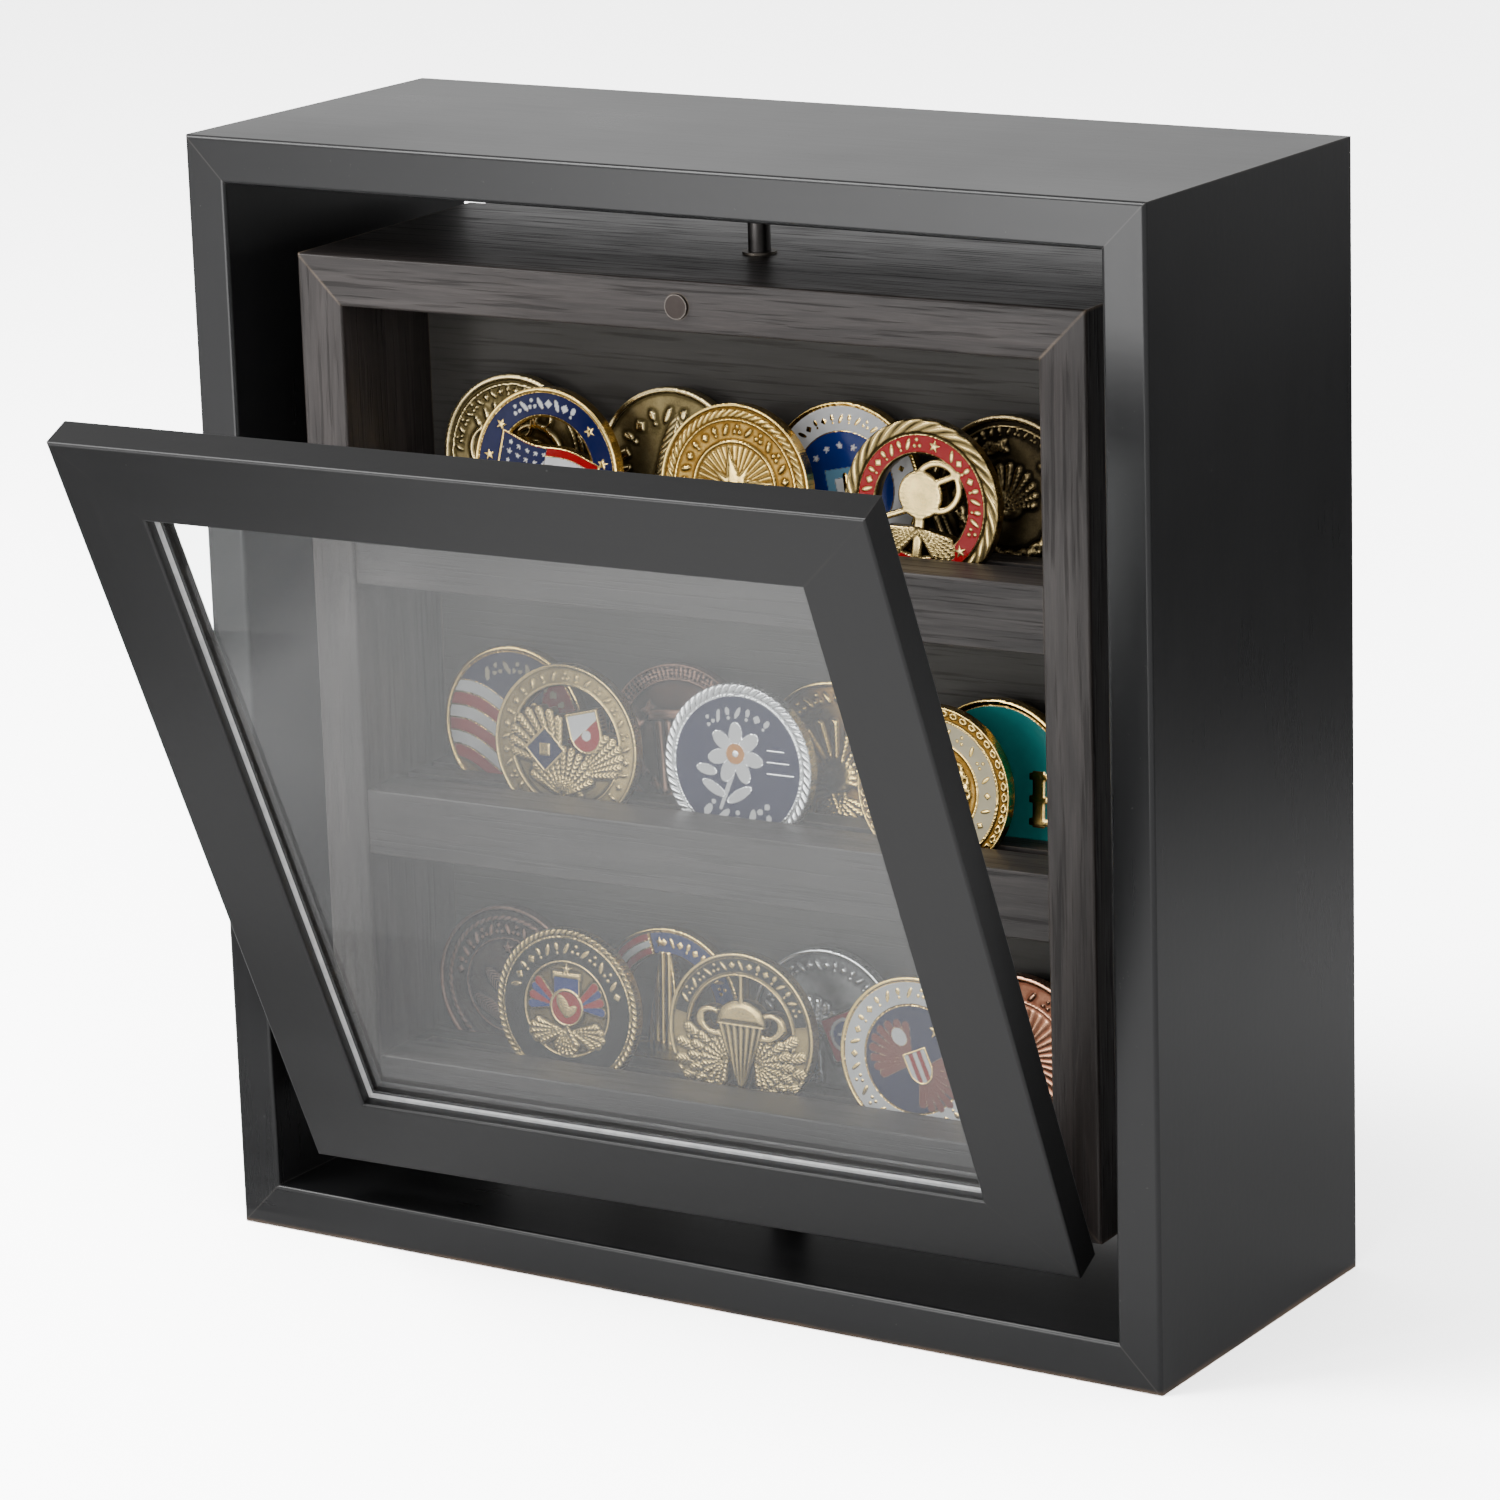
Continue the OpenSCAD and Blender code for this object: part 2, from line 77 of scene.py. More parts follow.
class Nodes:
    """A material's node tree, with short calls for the nodes used here."""

    def __init__(self, name):
        self.mat = bpy.data.materials.new(name)
        self.mat.use_nodes = True
        self.tree = self.mat.node_tree
        self.tree.nodes.clear()

    def add(self, kind, out=0, props=None, **inputs):
        """A new node's output. Inputs go by name, with _ for a space, or by place as i0, i1 ..."""
        n = self.tree.nodes.new(kind)
        for k, v in (props or {}).items():
            setattr(n, k, v)
        for k, v in inputs.items():
            key = int(k[1:]) if k[0] == "i" and k[1:].isdigit() else k.replace("_", " ")
            self.put(n.inputs[key], v)
        return n.outputs[out] if out is not None else None

    def put(self, socket, v):
        """Links another node's output, or sets the socket's own value."""
        if isinstance(v, bpy.types.NodeSocket):
            self.tree.links.new(v, socket)
        else:
            socket.default_value = v

    def coords(self, rot=None, scale=(1, 1, 1)):
        """Object coordinates, turned into a piece's own axes and scaled."""
        co = self.add("ShaderNodeTexCoord", out="Object")
        if rot is not None:
            e = rot.transposed().to_euler("XYZ")
            co = self.add("ShaderNodeMapping", Vector=co, Rotation=e)
        return self.add("ShaderNodeMapping", Vector=co, Scale=scale)

    def axis(self, co, which):
        return self.add("ShaderNodeSeparateXYZ", out=which, Vector=co)

    def noise(self, co, scale, detail=3, rough=0.5, distort=0.0):
        return self.add("ShaderNodeTexNoise", out="Fac", Vector=co, Scale=scale,
                        Detail=detail, Roughness=rough, Distortion=distort)

    def math(self, op, a, b=0.5, clamp=False):
        return self.add("ShaderNodeMath", props={"operation": op, "use_clamp": clamp}, i0=a, i1=b)

    def ramp(self, fac, stops):
        """A grey or colour by value, in straight lines between (position, colour) stops."""
        n = self.tree.nodes.new("ShaderNodeValToRGB")
        e = n.color_ramp.elements
        while len(e) < len(stops):
            e.new(0.5)
        for el, (pos, col) in zip(e, stops):
            el.position = pos
            col = (col,) * 3 if isinstance(col, (int, float)) else col
            el.color = (*col[:3], 1)
        self.tree.links.new(fac, n.inputs["Fac"])
        return n.outputs["Color"]

    def mix(self, fac, a, b):
        """Colour a where fac is 0 and b where it is 1."""
        n = self.tree.nodes.new("ShaderNodeMix")
        n.data_type = "RGBA"
        for socket, v in (("Factor_Float", fac), ("A_Color", a), ("B_Color", b)):
            if isinstance(v, (tuple, list)) and len(v) == 3:
                v = (*v, 1)
            self.put(next(i for i in n.inputs if i.identifier == socket), v)
        return next(o for o in n.outputs if o.identifier == "Result_Color")

    def range(self, v, a, b, c, d):
        """Maps a..b to c..d, held at both ends."""
        return self.add("ShaderNodeMapRange", Value=v, From_Min=a, From_Max=b, To_Min=c, To_Max=d)

    def spread(self, noise, c, d):
        """Spreads the part of a noise's range where nearly all of it lies over c..d."""
        return self.range(noise, 0.3, 0.7, c, d)

    def bump(self, height, mm, strength, normal=None):
        """A bump of so many millimetres over the height's 0..1, on top of another if given."""
        n = self.tree.nodes.new("ShaderNodeBump")
        n.inputs["Strength"].default_value = strength
        n.inputs["Distance"].default_value = mm * MM
        self.tree.links.new(height, n.inputs["Height"])
        if normal is not None:
            self.tree.links.new(normal, n.inputs["Normal"])
        return n.outputs[0]

    def scaled(self, v, k):
        return self.math("MULTIPLY", v, k)

    def swing(self, v, k):
        """A noise's swing about its middle, times k."""
        return self.scaled(self.math("SUBTRACT", v, 0.5), k)

    def edges(self, radius):
        """1 on worn edges and 0 on flat faces."""
        b = self.add("ShaderNodeBevel", props={"samples": 6}, Radius=radius)
        g = self.add("ShaderNodeNewGeometry", out="Normal")
        d = self.add("ShaderNodeVectorMath", out="Value",
                     props={"operation": "DOT_PRODUCT"}, i0=b, i1=g)
        return self.math("SUBTRACT", 1.0, d, clamp=True)

    def finish(self, **inputs):
        """The Principled shader with these inputs, and the finished material."""
        n = self.tree.nodes.new("ShaderNodeBsdfPrincipled")
        for k, v in inputs.items():
            s = n.inputs[k.replace("_", " ")]
            if isinstance(v, (tuple, list)) and len(v) == 3 and len(s.default_value) == 4:
                v = (*v, 1)
            self.put(s, v)
        return self.close(n.outputs[0])

    def close(self, shader):
        """Sends a shader to the material's surface and returns the material."""
        self.add("ShaderNodeOutputMaterial", out=None, i0=shader)
        return self.mat


# ---------------------------------------------------------------- materials

LACQUER_EDGE, WOOD_EDGE, METAL_EDGE = 1.1 * MM, 1.2 * MM, 0.7 * MM    # how far edge wear reaches
MITRE_LINE = (0.1 * MM, 0.35 * MM)       # half-width of the line in a mitre, and where it ends
RUBBED_FOOT = (0.4 * MM, 1.6 * MM)       # height over which the frame's foot is rubbed
PANE_SHINE = 0.078                       # share of light that each face of the glass reflects

BLACK, DOOR_BLACK = (0.0085, 0.0086, 0.0092), (0.0088, 0.0087, 0.0090)
BLACK_EDGE, MITRE, DUST = (0.060, 0.050, 0.043), (0.075, 0.07, 0.066), (0.16, 0.155, 0.15)
BARE_FOOT, WORN_WOOD = (0.17, 0.105, 0.06), (0.26, 0.195, 0.14)

# stains: the dark, middle and light tone of the grain
CASE_STAIN = (0.0150, 0.0122, 0.0112), (0.0350, 0.0285, 0.0265), (0.072, 0.060, 0.056)
SHELF_STAIN = (0.0150, 0.0125, 0.0118), (0.0330, 0.0280, 0.0265), (0.066, 0.056, 0.053)
PANEL_STAIN = (0.062, 0.057, 0.052), (0.076, 0.070, 0.063), (0.090, 0.083, 0.075)
BEAD_STAIN = (0.006, 0.005, 0.005), (0.011, 0.009, 0.0085), (0.02, 0.016, 0.015)


def grain_coords(m, rot, along, stretch):
    """Coordinates squeezed along the grain, so that a noise in them runs in streaks."""
    return m.coords(rot, (1 / stretch, 1, 1) if along == "X" else (1, 1, 1 / stretch))


def mitre_lines(m):
    """1 on the fine line where the outer frame's boards meet at its corners."""
    co = m.coords()
    x, z = m.math("ABSOLUTE", m.axis(co, "X")), m.axis(co, "Z")
    top = m.math("SUBTRACT", m.math("SUBTRACT", z, x), FRAME_HI.z - FRAME_HI.x)
    low = m.math("SUBTRACT", m.math("ADD", z, x), FRAME_HI.x)
    off = m.math("MINIMUM", m.math("ABSOLUTE", top), m.math("ABSOLUTE", low))
    return m.range(off, *MITRE_LINE, 1, 0)


def lacquer(name, rot, along, base, rough, seed, edge_amount=0.35, boards=False):
    """Black lacquer over wood: the grain barely shows through and edges are rubbed slightly."""
    m = Nodes(name)
    fine = grain_coords(m, rot, along, 22)
    shift = (seed * 0.37, seed * 0.53, seed * 0.71)
    streak = m.noise(m.add("ShaderNodeMapping", Vector=fine, Location=shift), 520, 4, 0.6)
    cloud = m.noise(m.coords(rot), 9 + seed * 0.1, 3, 0.5)
    dust = m.noise(m.coords(rot), 900, 2, 0.4)
    specks = m.ramp(dust, [(0.0, 0.0), (0.765, 0.0), (0.80, 1.0)])
    patch = m.range(m.noise(m.coords(rot), 60, 4, 0.65), 0.38, 0.66, 0, edge_amount)
    worn = m.math("MULTIPLY", m.range(m.edges(LACQUER_EDGE), 0.02, 0.30, 0, 1), patch, clamp=True)
    tones = [[c * k for c in base] for k in (0.94, 1.06)]
    col = m.mix(m.spread(streak, 0, 1), *tones)
    col = m.mix(m.scaled(specks, 0.22), col, DUST)
    col = m.mix(worn, col, BLACK_EDGE)
    if boards:
        col = m.mix(m.scaled(mitre_lines(m), 0.5), col, MITRE)
        foot = m.range(m.axis(m.coords(), "Z"), *RUBBED_FOOT, 1, 0)
        uneven = m.range(m.noise(m.coords(), 35, 4, 0.6), 0.35, 0.6, 0.15, 0.9)
        col = m.mix(m.scaled(foot, uneven), col, BARE_FOOT)
    r = m.math("ADD", m.spread(cloud, rough - 0.03, rough + 0.03),
               m.spread(streak, -0.008, 0.01))
    r = m.math("ADD", r, m.scaled(specks, 0.15))
    orange_peel = m.noise(m.coords(rot), 420, 2, 0.5)
    b = m.bump(orange_peel, 0.05, 0.3, m.bump(streak, 0.03, 0.3))
    return m.finish(Base_Color=col, Roughness=r, Normal=b, Specular_IOR_Level=0.5)


def stained_wood(name, rot, along, seed, stain, rough, wear, contrast=1.0, open_grain=0.5):
    """Open-grained wood under a dark stain: growth bands, fine pores and lighter rubbed edges."""
    dark, mid, light = stain
    m = Nodes(name)
    off = (seed * 0.173, seed * 0.291, seed * 0.417)
    bands_co = m.add("ShaderNodeMapping", Vector=grain_coords(m, rot, along, 14), Location=off)
    pores_co = m.add("ShaderNodeMapping", Vector=grain_coords(m, rot, along, 30), Location=off)
    warp = m.noise(bands_co, 34, 3, 0.55, 0.4)
    bands = m.noise(bands_co, 210, 5, 0.62, 0.9)
    fine = m.noise(pores_co, 1700, 3, 0.7)
    pores = m.ramp(m.noise(pores_co, 950, 2, 0.5), [(0.0, 1.0), (0.36, 1.0), (0.45, 0.0)])
    tone = m.math("ADD", m.scaled(bands, 0.62), m.scaled(warp, 0.38))
    tone = m.math("ADD", tone, m.swing(fine, 0.30))
    spread = 0.17 / contrast
    col = m.ramp(tone, [(0.5 - spread, dark), (0.5, mid), (0.5 + spread, light)])
    col = m.mix(m.scaled(pores, open_grain), col, [c * 0.35 for c in dark])
    patch = m.range(m.noise(m.coords(rot), 45, 5, 0.7), 0.34, 0.62, 0.05, wear)
    worn = m.math("MULTIPLY", m.range(m.edges(WOOD_EDGE), 0.015, 0.26, 0, 1), patch, clamp=True)
    col = m.mix(worn, col, WORN_WOOD)
    r = m.spread(tone, rough + 0.07, rough - 0.06)
    r = m.math("ADD", r, m.scaled(pores, 0.18))
    b = m.bump(m.math("SUBTRACT", 1.0, pores), 0.12, 0.5, m.bump(tone, 0.22, 0.45))
    return m.finish(Base_Color=col, Roughness=r, Normal=b, Specular_IOR_Level=0.45)


def plain_metal(name, base, rough, seed, brush, metal=1.0, edge=None):
    """Lightly brushed metal, clouded in tone and gloss, with brighter edges if edge is given."""
    m = Nodes(name)
    cloud = m.noise(m.coords(), 260 + seed, 4, 0.6)
    lines = m.noise(m.coords(None, (1, 1, 6)), 420, 3, 0.6)
    tones = [c * 0.82 for c in base], [min(1, c * 1.12) for c in base]
    col = m.mix(m.spread(cloud, 0, 1), *tones)
    if edge:
        col = m.mix(m.range(m.edges(METAL_EDGE), 0.02, 0.25, 0, 1), col, edge)
    r = m.spread(cloud, rough - 0.06, rough + 0.07)
    r = m.math("ADD", r, m.scaled(lines, brush))
    return m.finish(Base_Color=col, Roughness=r, Metallic=metal,
                    Normal=m.bump(lines, 0.006, 0.4))


def bare_wood(name):
    """Pale, unfinished wood of the hidden splines, keys and dowels."""
    m = Nodes(name)
    t = m.noise(grain_coords(m, None, "Z", 12), 260, 4, 0.6)
    col = m.ramp(t, [(0.3, (0.30, 0.17, 0.08)), (0.7, (0.47, 0.30, 0.16))])
    return m.finish(Base_Color=col, Roughness=m.spread(t, 0.6, 0.75),
                    Normal=m.bump(t, 0.1, 0.4))


def nylon(name):
    """Off-white nylon of the washer under the case."""
    m = Nodes(name)
    t = m.noise(m.coords(), 500, 3, 0.5)
    col = m.mix(m.spread(t, 0, 1), (0.70, 0.69, 0.64), (0.80, 0.79, 0.75))
    return m.finish(Base_Color=col, Roughness=m.spread(t, 0.38, 0.5),
                    Subsurface_Weight=0.1, Subsurface_Radius=(MM, MM, MM),
                    Normal=m.bump(t, 0.05, 0.3))


def pane(name):
    """Clear glass that lets light straight through and reflects at its faces, with faint dust."""
    m = Nodes(name)
    dust = m.noise(m.coords(), 26, 6, 0.72)
    specks = m.ramp(m.noise(m.coords(), 700, 2, 0.5), [(0.0, 0.0), (0.80, 0.0), (0.83, 1.0)])
    film = m.math("ADD", m.range(dust, 0.35, 0.75, 0.003, 0.016), m.scaled(specks, 0.3))
    clear = m.add("ShaderNodeBsdfTransparent", Color=(0.955, 0.965, 0.962, 1))
    shine = m.add("ShaderNodeBsdfGlossy", Color=(1, 1, 1, 1), Roughness=0.015)
    haze = m.add("ShaderNodeBsdfDiffuse", Color=(0.55, 0.56, 0.57, 1))
    facing = m.add("ShaderNodeLayerWeight", out="Facing", Blend=0.5)
    glancing = m.math("POWER", facing, 5.0)
    fresnel = m.math("ADD", PANE_SHINE, m.scaled(glancing, 0.93))
    glass = m.add("ShaderNodeMixShader", i0=fresnel, i1=clear, i2=shine)
    return m.close(m.add("ShaderNodeMixShader", i0=film, i1=glass, i2=haze))


def paint(node, mat):
    o = NODES[node]
    o.data.materials.clear()
    o.data.materials.append(mat)
    for p in o.data.polygons:
        p.material_index = 0


# ---------------------------------------------------------------- materials of the CAD nodes

for i, (side, along) in enumerate((("top", "X"), ("bottom", "X"), ("left", "Z"), ("right", "Z"))):
    paint(f"outer_{side}_board",
          lacquer(f"outer_{side}_lacquer", None, along, BLACK, 0.30, i + 1, boards=True))
    paint(f"case_{side}_board",
          stained_wood(f"case_{side}_wood", CASE_ROT, along, i + 11,
                       CASE_STAIN, 0.42, 0.9, 0.75, 0.4))

DOOR_PARTS = (("top_rail", "X"), ("bottom_rail", "X"), ("left_stile", "Z"), ("right_stile", "Z"))
for side, rot, seed in (("front", DOOR_ROT, 21), ("rear", CASE_ROT, 31)):
    for i, (part, along) in enumerate(DOOR_PARTS):
        paint(f"{side}_door_{part}",
              lacquer(f"{side}_door_{part}_lacquer", rot, along, DOOR_BLACK, 0.36, seed + i, 0.3))
    paint(f"{side}_door_glazing_beads",
          stained_wood(f"{side}_bead_wood", rot, "X", seed + 5, BEAD_STAIN, 0.55, 0.25))
    paint(f"{side}_door_glass", pane(f"{side}_pane"))

for i, level in enumerate(("top", "middle", "bottom")):
    for j, side in enumerate(("front", "rear")):
        paint(f"{side}_{level}_shelf",
              stained_wood(f"{side}_{level}_shelf_wood", CASE_ROT, "X", 40 + 3 * i + j,
                           SHELF_STAIN, 0.5, 0.45, 0.8, 0.35))

paint("centre_panel",
      stained_wood("panel_wood", CASE_ROT, "X", 55, PANEL_STAIN, 0.62, 0.1, 0.5, 0.12))

STEEL = plain_metal("turned_steel", (0.075, 0.07, 0.068), 0.34, 1, 0.1)
HINGE = plain_metal("hinge_metal", (0.34, 0.25, 0.14), 0.38, 2, 0.1)
PIN = plain_metal("hinge_pin_steel", (0.40, 0.39, 0.37), 0.3, 3, 0.1)
BUSH = plain_metal("bush_metal", (0.16, 0.14, 0.12), 0.4, 4, 0.1)
MAGNET = plain_metal("magnet_face", (0.060, 0.050, 0.046), 0.42, 5, 0.08, edge=(0.30, 0.27, 0.24))
TRIM = plain_metal("bright_trim", (0.90, 0.91, 0.92), 0.34, 6, 0.05, metal=0.3)
BARE = bare_wood("bare_wood")
NYLON = nylon("nylon")

PART_ENDS = (("pivot_pin", STEEL), ("bush", BUSH), ("hinge_pins", PIN), ("magnet", MAGNET),
             ("leaves", HINGE), ("leaf_screws", HINGE), ("window_trim", TRIM),
             ("splines", BARE), ("keys", BARE), ("dowels", BARE), ("thrust_washer", NYLON))
for name in NODES:
    for end, mat in PART_ENDS:
        if name.endswith(end):
            paint(name, mat)

# ---------------------------------------------------------------- coins
# Each face is drawn in millimetres from the coin's centre. A shape is a field that is positive
# inside it and falls off with distance, so that np.minimum cuts one shape by another.

NAVY, BLUE, SKY = (0.004, 0.008, 0.065), (0.004, 0.028, 0.22), (0.16, 0.36, 0.52)
WHITE, RED, TEAL = (0.84, 0.84, 0.85), (0.38, 0.0015, 0.004), (0.0, 0.33, 0.32)
INK, CREAM = (0.008, 0.008, 0.010), (0.60, 0.53, 0.36)
ORANGE, RUSSET = (0.72, 0.28, 0.03), (0.23, 0.050, 0.035)


def disc(x, y, r, cx=0.0, cy=0.0):
    return r - np.hypot(x - cx, y - cy)


def oval(x, y, a, b, cx=0.0, cy=0.0, deg=0.0):
    x, y = turned(x - cx, y - cy, deg)
    return (1 - np.hypot(x / a, y / b)) * min(a, b)


def turned(x, y, deg):
    """Coordinates in axes turned anticlockwise by deg."""
    c, s = math.cos(math.radians(deg)), math.sin(math.radians(deg))
    return c * x + s * y, c * y - s * x


def bar(x, y, x0, y0, x1, y1, w0, w1=None):
    """A round-ended bar whose half-width runs from w0 to w1."""
    w1 = w0 if w1 is None else w1
    dx, dy = x1 - x0, y1 - y0
    t = np.clip(((x - x0) * dx + (y - y0) * dy) / (dx * dx + dy * dy), 0, 1)
    return w0 + (w1 - w0) * t - np.hypot(x - x0 - t * dx, y - y0 - t * dy)


def block(x, y, w, h, cx=0.0, cy=0.0, deg=0.0):
    x, y = turned(x - cx, y - cy, deg)
    return np.minimum(w / 2 - abs(x), h / 2 - abs(y))


def star(x, y, r, n=5, inner=0.42, cx=0.0, cy=0.0):
    """A star of n points, folded onto one half of one point and measured from its edge."""
    x, y = x - cx, y - cy
    a = np.arctan2(x, y)
    k = 2 * math.pi / n
    a = abs((a + k / 2) % k - k / 2)
    q = np.hypot(x, y)
    px, py = q * np.sin(a), q * np.cos(a)
    ix, iy = r * inner * math.sin(k / 2), r * inner * math.cos(k / 2)
    dx, dy = ix, iy - r
    return (dy * px - dx * (py - r)) / math.hypot(dx, dy)


def shield(x, y, w, h, cx=0.0, cy=0.0, deg=0.0):
    x, y = turned(x - cx, y - cy, deg)
    top = h / 2 - y
    low = 1 - np.hypot(x / (w / 2), np.minimum(y, 0) / (h / 2))
    return np.minimum(np.minimum(top, w / 2 - abs(x)), low * w / 2)


class Coin:
    """A struck face as fields on a grid, in millimetres: height, enamel, colour and openings."""

    def __init__(self, r, step, spin, field):
        n = int(r / step) + 2
        a = np.arange(-n, n + 1) * step
        self.gx, self.gy = np.meshgrid(a, a)
        self.x, self.y = turned(self.gx, self.gy, spin)
        self.q, self.th = np.hypot(self.x, self.y), np.arctan2(self.y, self.x)
        self.r, self.field = r, field
        self.solid = r - self.q
        self.h = np.full(self.x.shape, -field)
        self.ink = np.full(self.x.shape, -1.0)
        self.tint = np.zeros((*self.x.shape, 3))

    def up(self, s, top=-0.06, soft=0.5, rib=None):
        """Raises bare metal where s is positive, with a rounded edge."""
        prof = np.sqrt(1 - (1 - np.clip(s / soft, 0, 1)) ** 2)
        rise = np.maximum(top - self.h, 0) * prof
        if rib is not None:
            rise = rise * rib
        self.h = self.h + rise
        self.ink = np.minimum(self.ink, -s)

    def fill(self, s, colour, level=-0.2, line=0.16):
        """Pours enamel where s is positive, inside a thin metal line."""
        self.ink = np.maximum(np.minimum(self.ink, -s), s - line)
        self.tint[s > line * 0.4] = colour
        self.h = np.where(s > 0, level + np.clip((line - s) / line, 0, 1) * 0.12, self.h)

    def cut(self, s):
        """Opens the coin where s is positive."""
        self.solid = np.minimum(self.solid, -s)

    def keep(self, s):
        """Closes an opening again where s is positive."""
        self.solid = np.maximum(self.solid, np.minimum(s, self.r - self.q))

    def band(self, r0, r1):
        return np.minimum(self.q - r0, r1 - self.q)

    def arc(self, first, last):
        """Positive between two angles in degrees, anticlockwise, measured as a distance."""
        mid, half = math.radians((first + last) / 2), math.radians((last - first) / 2)
        a = (self.th - mid + math.pi) % (2 * math.pi) - math.pi
        return (half - abs(a)) * self.q

    def places(self, n, rad, first=90.0, step=None):
        """Coordinates about the nearest of n places on a circle; y points outwards."""
        step = math.radians(step if step else 360 / n)
        mid = math.radians(first) + (n - 1) / 2 * step
        a = (self.th - mid + math.pi) % (2 * math.pi) - math.pi
        k = np.clip(np.round(a / step + (n - 1) / 2), 0, n - 1)
        p = math.radians(first) + k * step
        self.place = k.astype(int)
        return (self.x * np.sin(p) - self.y * np.cos(p),
                self.x * np.cos(p) + self.y * np.sin(p) - rad)

    def rim(self, kind, w, n=72):
        """The raised edge, w wide, with n strands, beads or links round it."""
        r, top = self.r, 0.0
        mid = r - w / 2
        if kind == "plain":
            self.up(self.q - (r - w), top, 0.35)
        elif kind == "rope":
            strand = 0.5 + 0.5 * np.cos(self.th * n + (self.q - mid) * 2.4)
            self.up(self.band(r - w, r + 0.4), top, w * 0.5, 0.42 + 0.58 * strand ** 0.6)
        elif kind == "chain":
            self.up(self.q - (r - 0.6), top, 0.3)
            u, v = self.places(n, mid - 0.2)
            self.up(np.minimum(oval(u, v, 1.25, 0.85), -oval(u, v, 0.6, 0.3)), top, 0.35)
        elif kind == "chequer":
            self.up(self.q - (r - 0.5), top, 0.3)
            c = np.cos(self.th * n + self.q * 3.2) * np.cos(self.th * n - self.q * 3.2)
            self.up(self.band(r - w, r - 0.6), top - 0.05, 0.4, 0.35 + 0.65 * (c > 0))

    def line(self, rad, w=0.35, top=-0.08):
        self.up(w / 2 - abs(self.q - rad), top, w / 2)

    def rope(self, rad, w=1.0, n=60, top=-0.1):
        strand = 0.5 + 0.5 * np.cos(self.th * n + (self.q - rad) * 4)
        self.up(w / 2 - abs(self.q - rad), top, w / 2, 0.4 + 0.6 * strand)

    def sprigs(self, n, rad, size, first=90.0, step=None, top=-0.06, colour=None):
        """A ring of small worked ornaments: slanted leaves, buds, dots and lozenges."""
        gap = math.radians(abs(step) if step else 360 / n) * rad
        count = round(n * min(1.5, gap / (1.6 * size)))     # closer set, but not touching
        if step:
            step *= (n - 1) / max(count - 1, 1)
        u, v = self.places(count, rad, first, step)
        u, v = u / size, v / size
        bud = np.maximum(oval(u, v, 0.38, 0.6, 0, 0.3), disc(u, v, 0.24, 0, -0.65))
        pair = np.maximum(disc(u, v, 0.3, -0.45, -0.35), disc(u, v, 0.3, 0.45, -0.35))
        dots = np.maximum(disc(u, v, 0.3, 0, 0.6), pair)
        kinds = (oval(u, v, 0.34, 0.95, 0, 0, 28), bud, dots, block(u, v, 0.95, 0.95, 0, 0, 45),
                 oval(u, v, 0.34, 0.95, 0, 0, -28))
        s = np.choose((self.place * 7 + self.place // 3 + n) % 5, kinds) * size
        if colour:
            self.fill(s, colour, line=0.04)
        else:
            self.up(s, top, 0.3)

    def stars(self, n, rad, size, first=90.0, step=None, colour=None):
        s = star(*self.places(n, rad, first, step), size)
        if colour:
            self.fill(s, colour, line=0.07)
        else:
            self.up(s, -0.05, 0.35)

    def leaf(self, cx, cy, a, b, deg, top=-0.05):
        x, y = turned(self.x - cx, self.y - cy, deg)
        s = oval(x, y, a, b)
        rib = 0.72 + 0.28 * np.cos((y + abs(x) * 0.9) * 6.5) * (abs(x) > 0.2)
        self.up(s, top, min(a, b) * 0.9, rib)
        return s

    def wreath(self, rad, n, size, top=-0.05):
        """Two rows of leaves that climb from the bottom on both sides."""
        for side in (-1, 1):
            for k in range(n):
                a = math.radians(-90 + side * (14 + k * 150 / n))
                for lean in (-28, 28):
                    self.leaf(rad * math.cos(a), rad * math.sin(a), size * 0.34, size,
                              math.degrees(a) + (0 if side > 0 else 180) + lean, top)

    def feathers(self, cx, cy, a0, a1, n, length, w, colour=None, keep=False):
        """A spread of n long feathers from one root, between two angles in degrees."""
        top, foot = -0.04, -self.field * 0.75
        for k in range(n):
            t = k / (n - 1)
            a = math.radians(a0 + (a1 - a0) * t)
            ln = length * (0.62 + 0.38 * math.sin(math.pi * (0.18 + 0.72 * t)))
            x1, y1 = cx + ln * math.cos(a), cy + ln * math.sin(a)
            s = bar(self.x, self.y, cx, cy, x1, y1, w * 0.45, w)
            if keep:
                self.keep(s)
            if colour:
                self.fill(s, colour, line=0.12)
            else:
                x, y = turned(self.x - cx, self.y - cy, math.degrees(a))
                vane = 0.8 + 0.2 * np.cos((x - abs(y) * 1.2) * 5)
                rise = np.sqrt(np.clip(1 - (1 - np.clip(s / (w * 0.9), 0, 1)) ** 2, 0, 1))
                self.h = np.where(s > 0, foot + (top - foot) * rise * vane, self.h)
                self.ink = np.minimum(self.ink, -s)

    def rays(self, n, r0, r1, top=-0.15):
        wave = 0.5 + 0.5 * np.cos(self.th * n)
        self.up(self.band(r0, r1), top, 0.5, 0.35 + 0.65 * wave)


def swirl_relief(c):
    c.rim("plain", 1.4)
    for cx, cy, r, w in ((-7, 3, 6.2, 1.5), (3, 9, 4.4, 1.2), (6, -1, 8.5, 1.6),
                         (-3, -8, 6.5, 1.4), (11, 9, 2.6, 1.0), (-12, -5, 3.2, 1.0),
                         (-7, 3, 2.6, 1.1), (6, -1, 4.2, 1.2)):
        c.up(w / 2 - abs(np.hypot(c.x - cx, c.y - cy) - r), -0.04, w / 2)
    for k in range(7):
        c.leaf(-9 + 3 * k, 12.5 - 0.3 * (k - 3) ** 2, 0.9, 3.2, 24 - 8 * k)
    c.line(19.6, 0.4)
    c.sprigs(9, 17.8, 1.5, 60, 13)


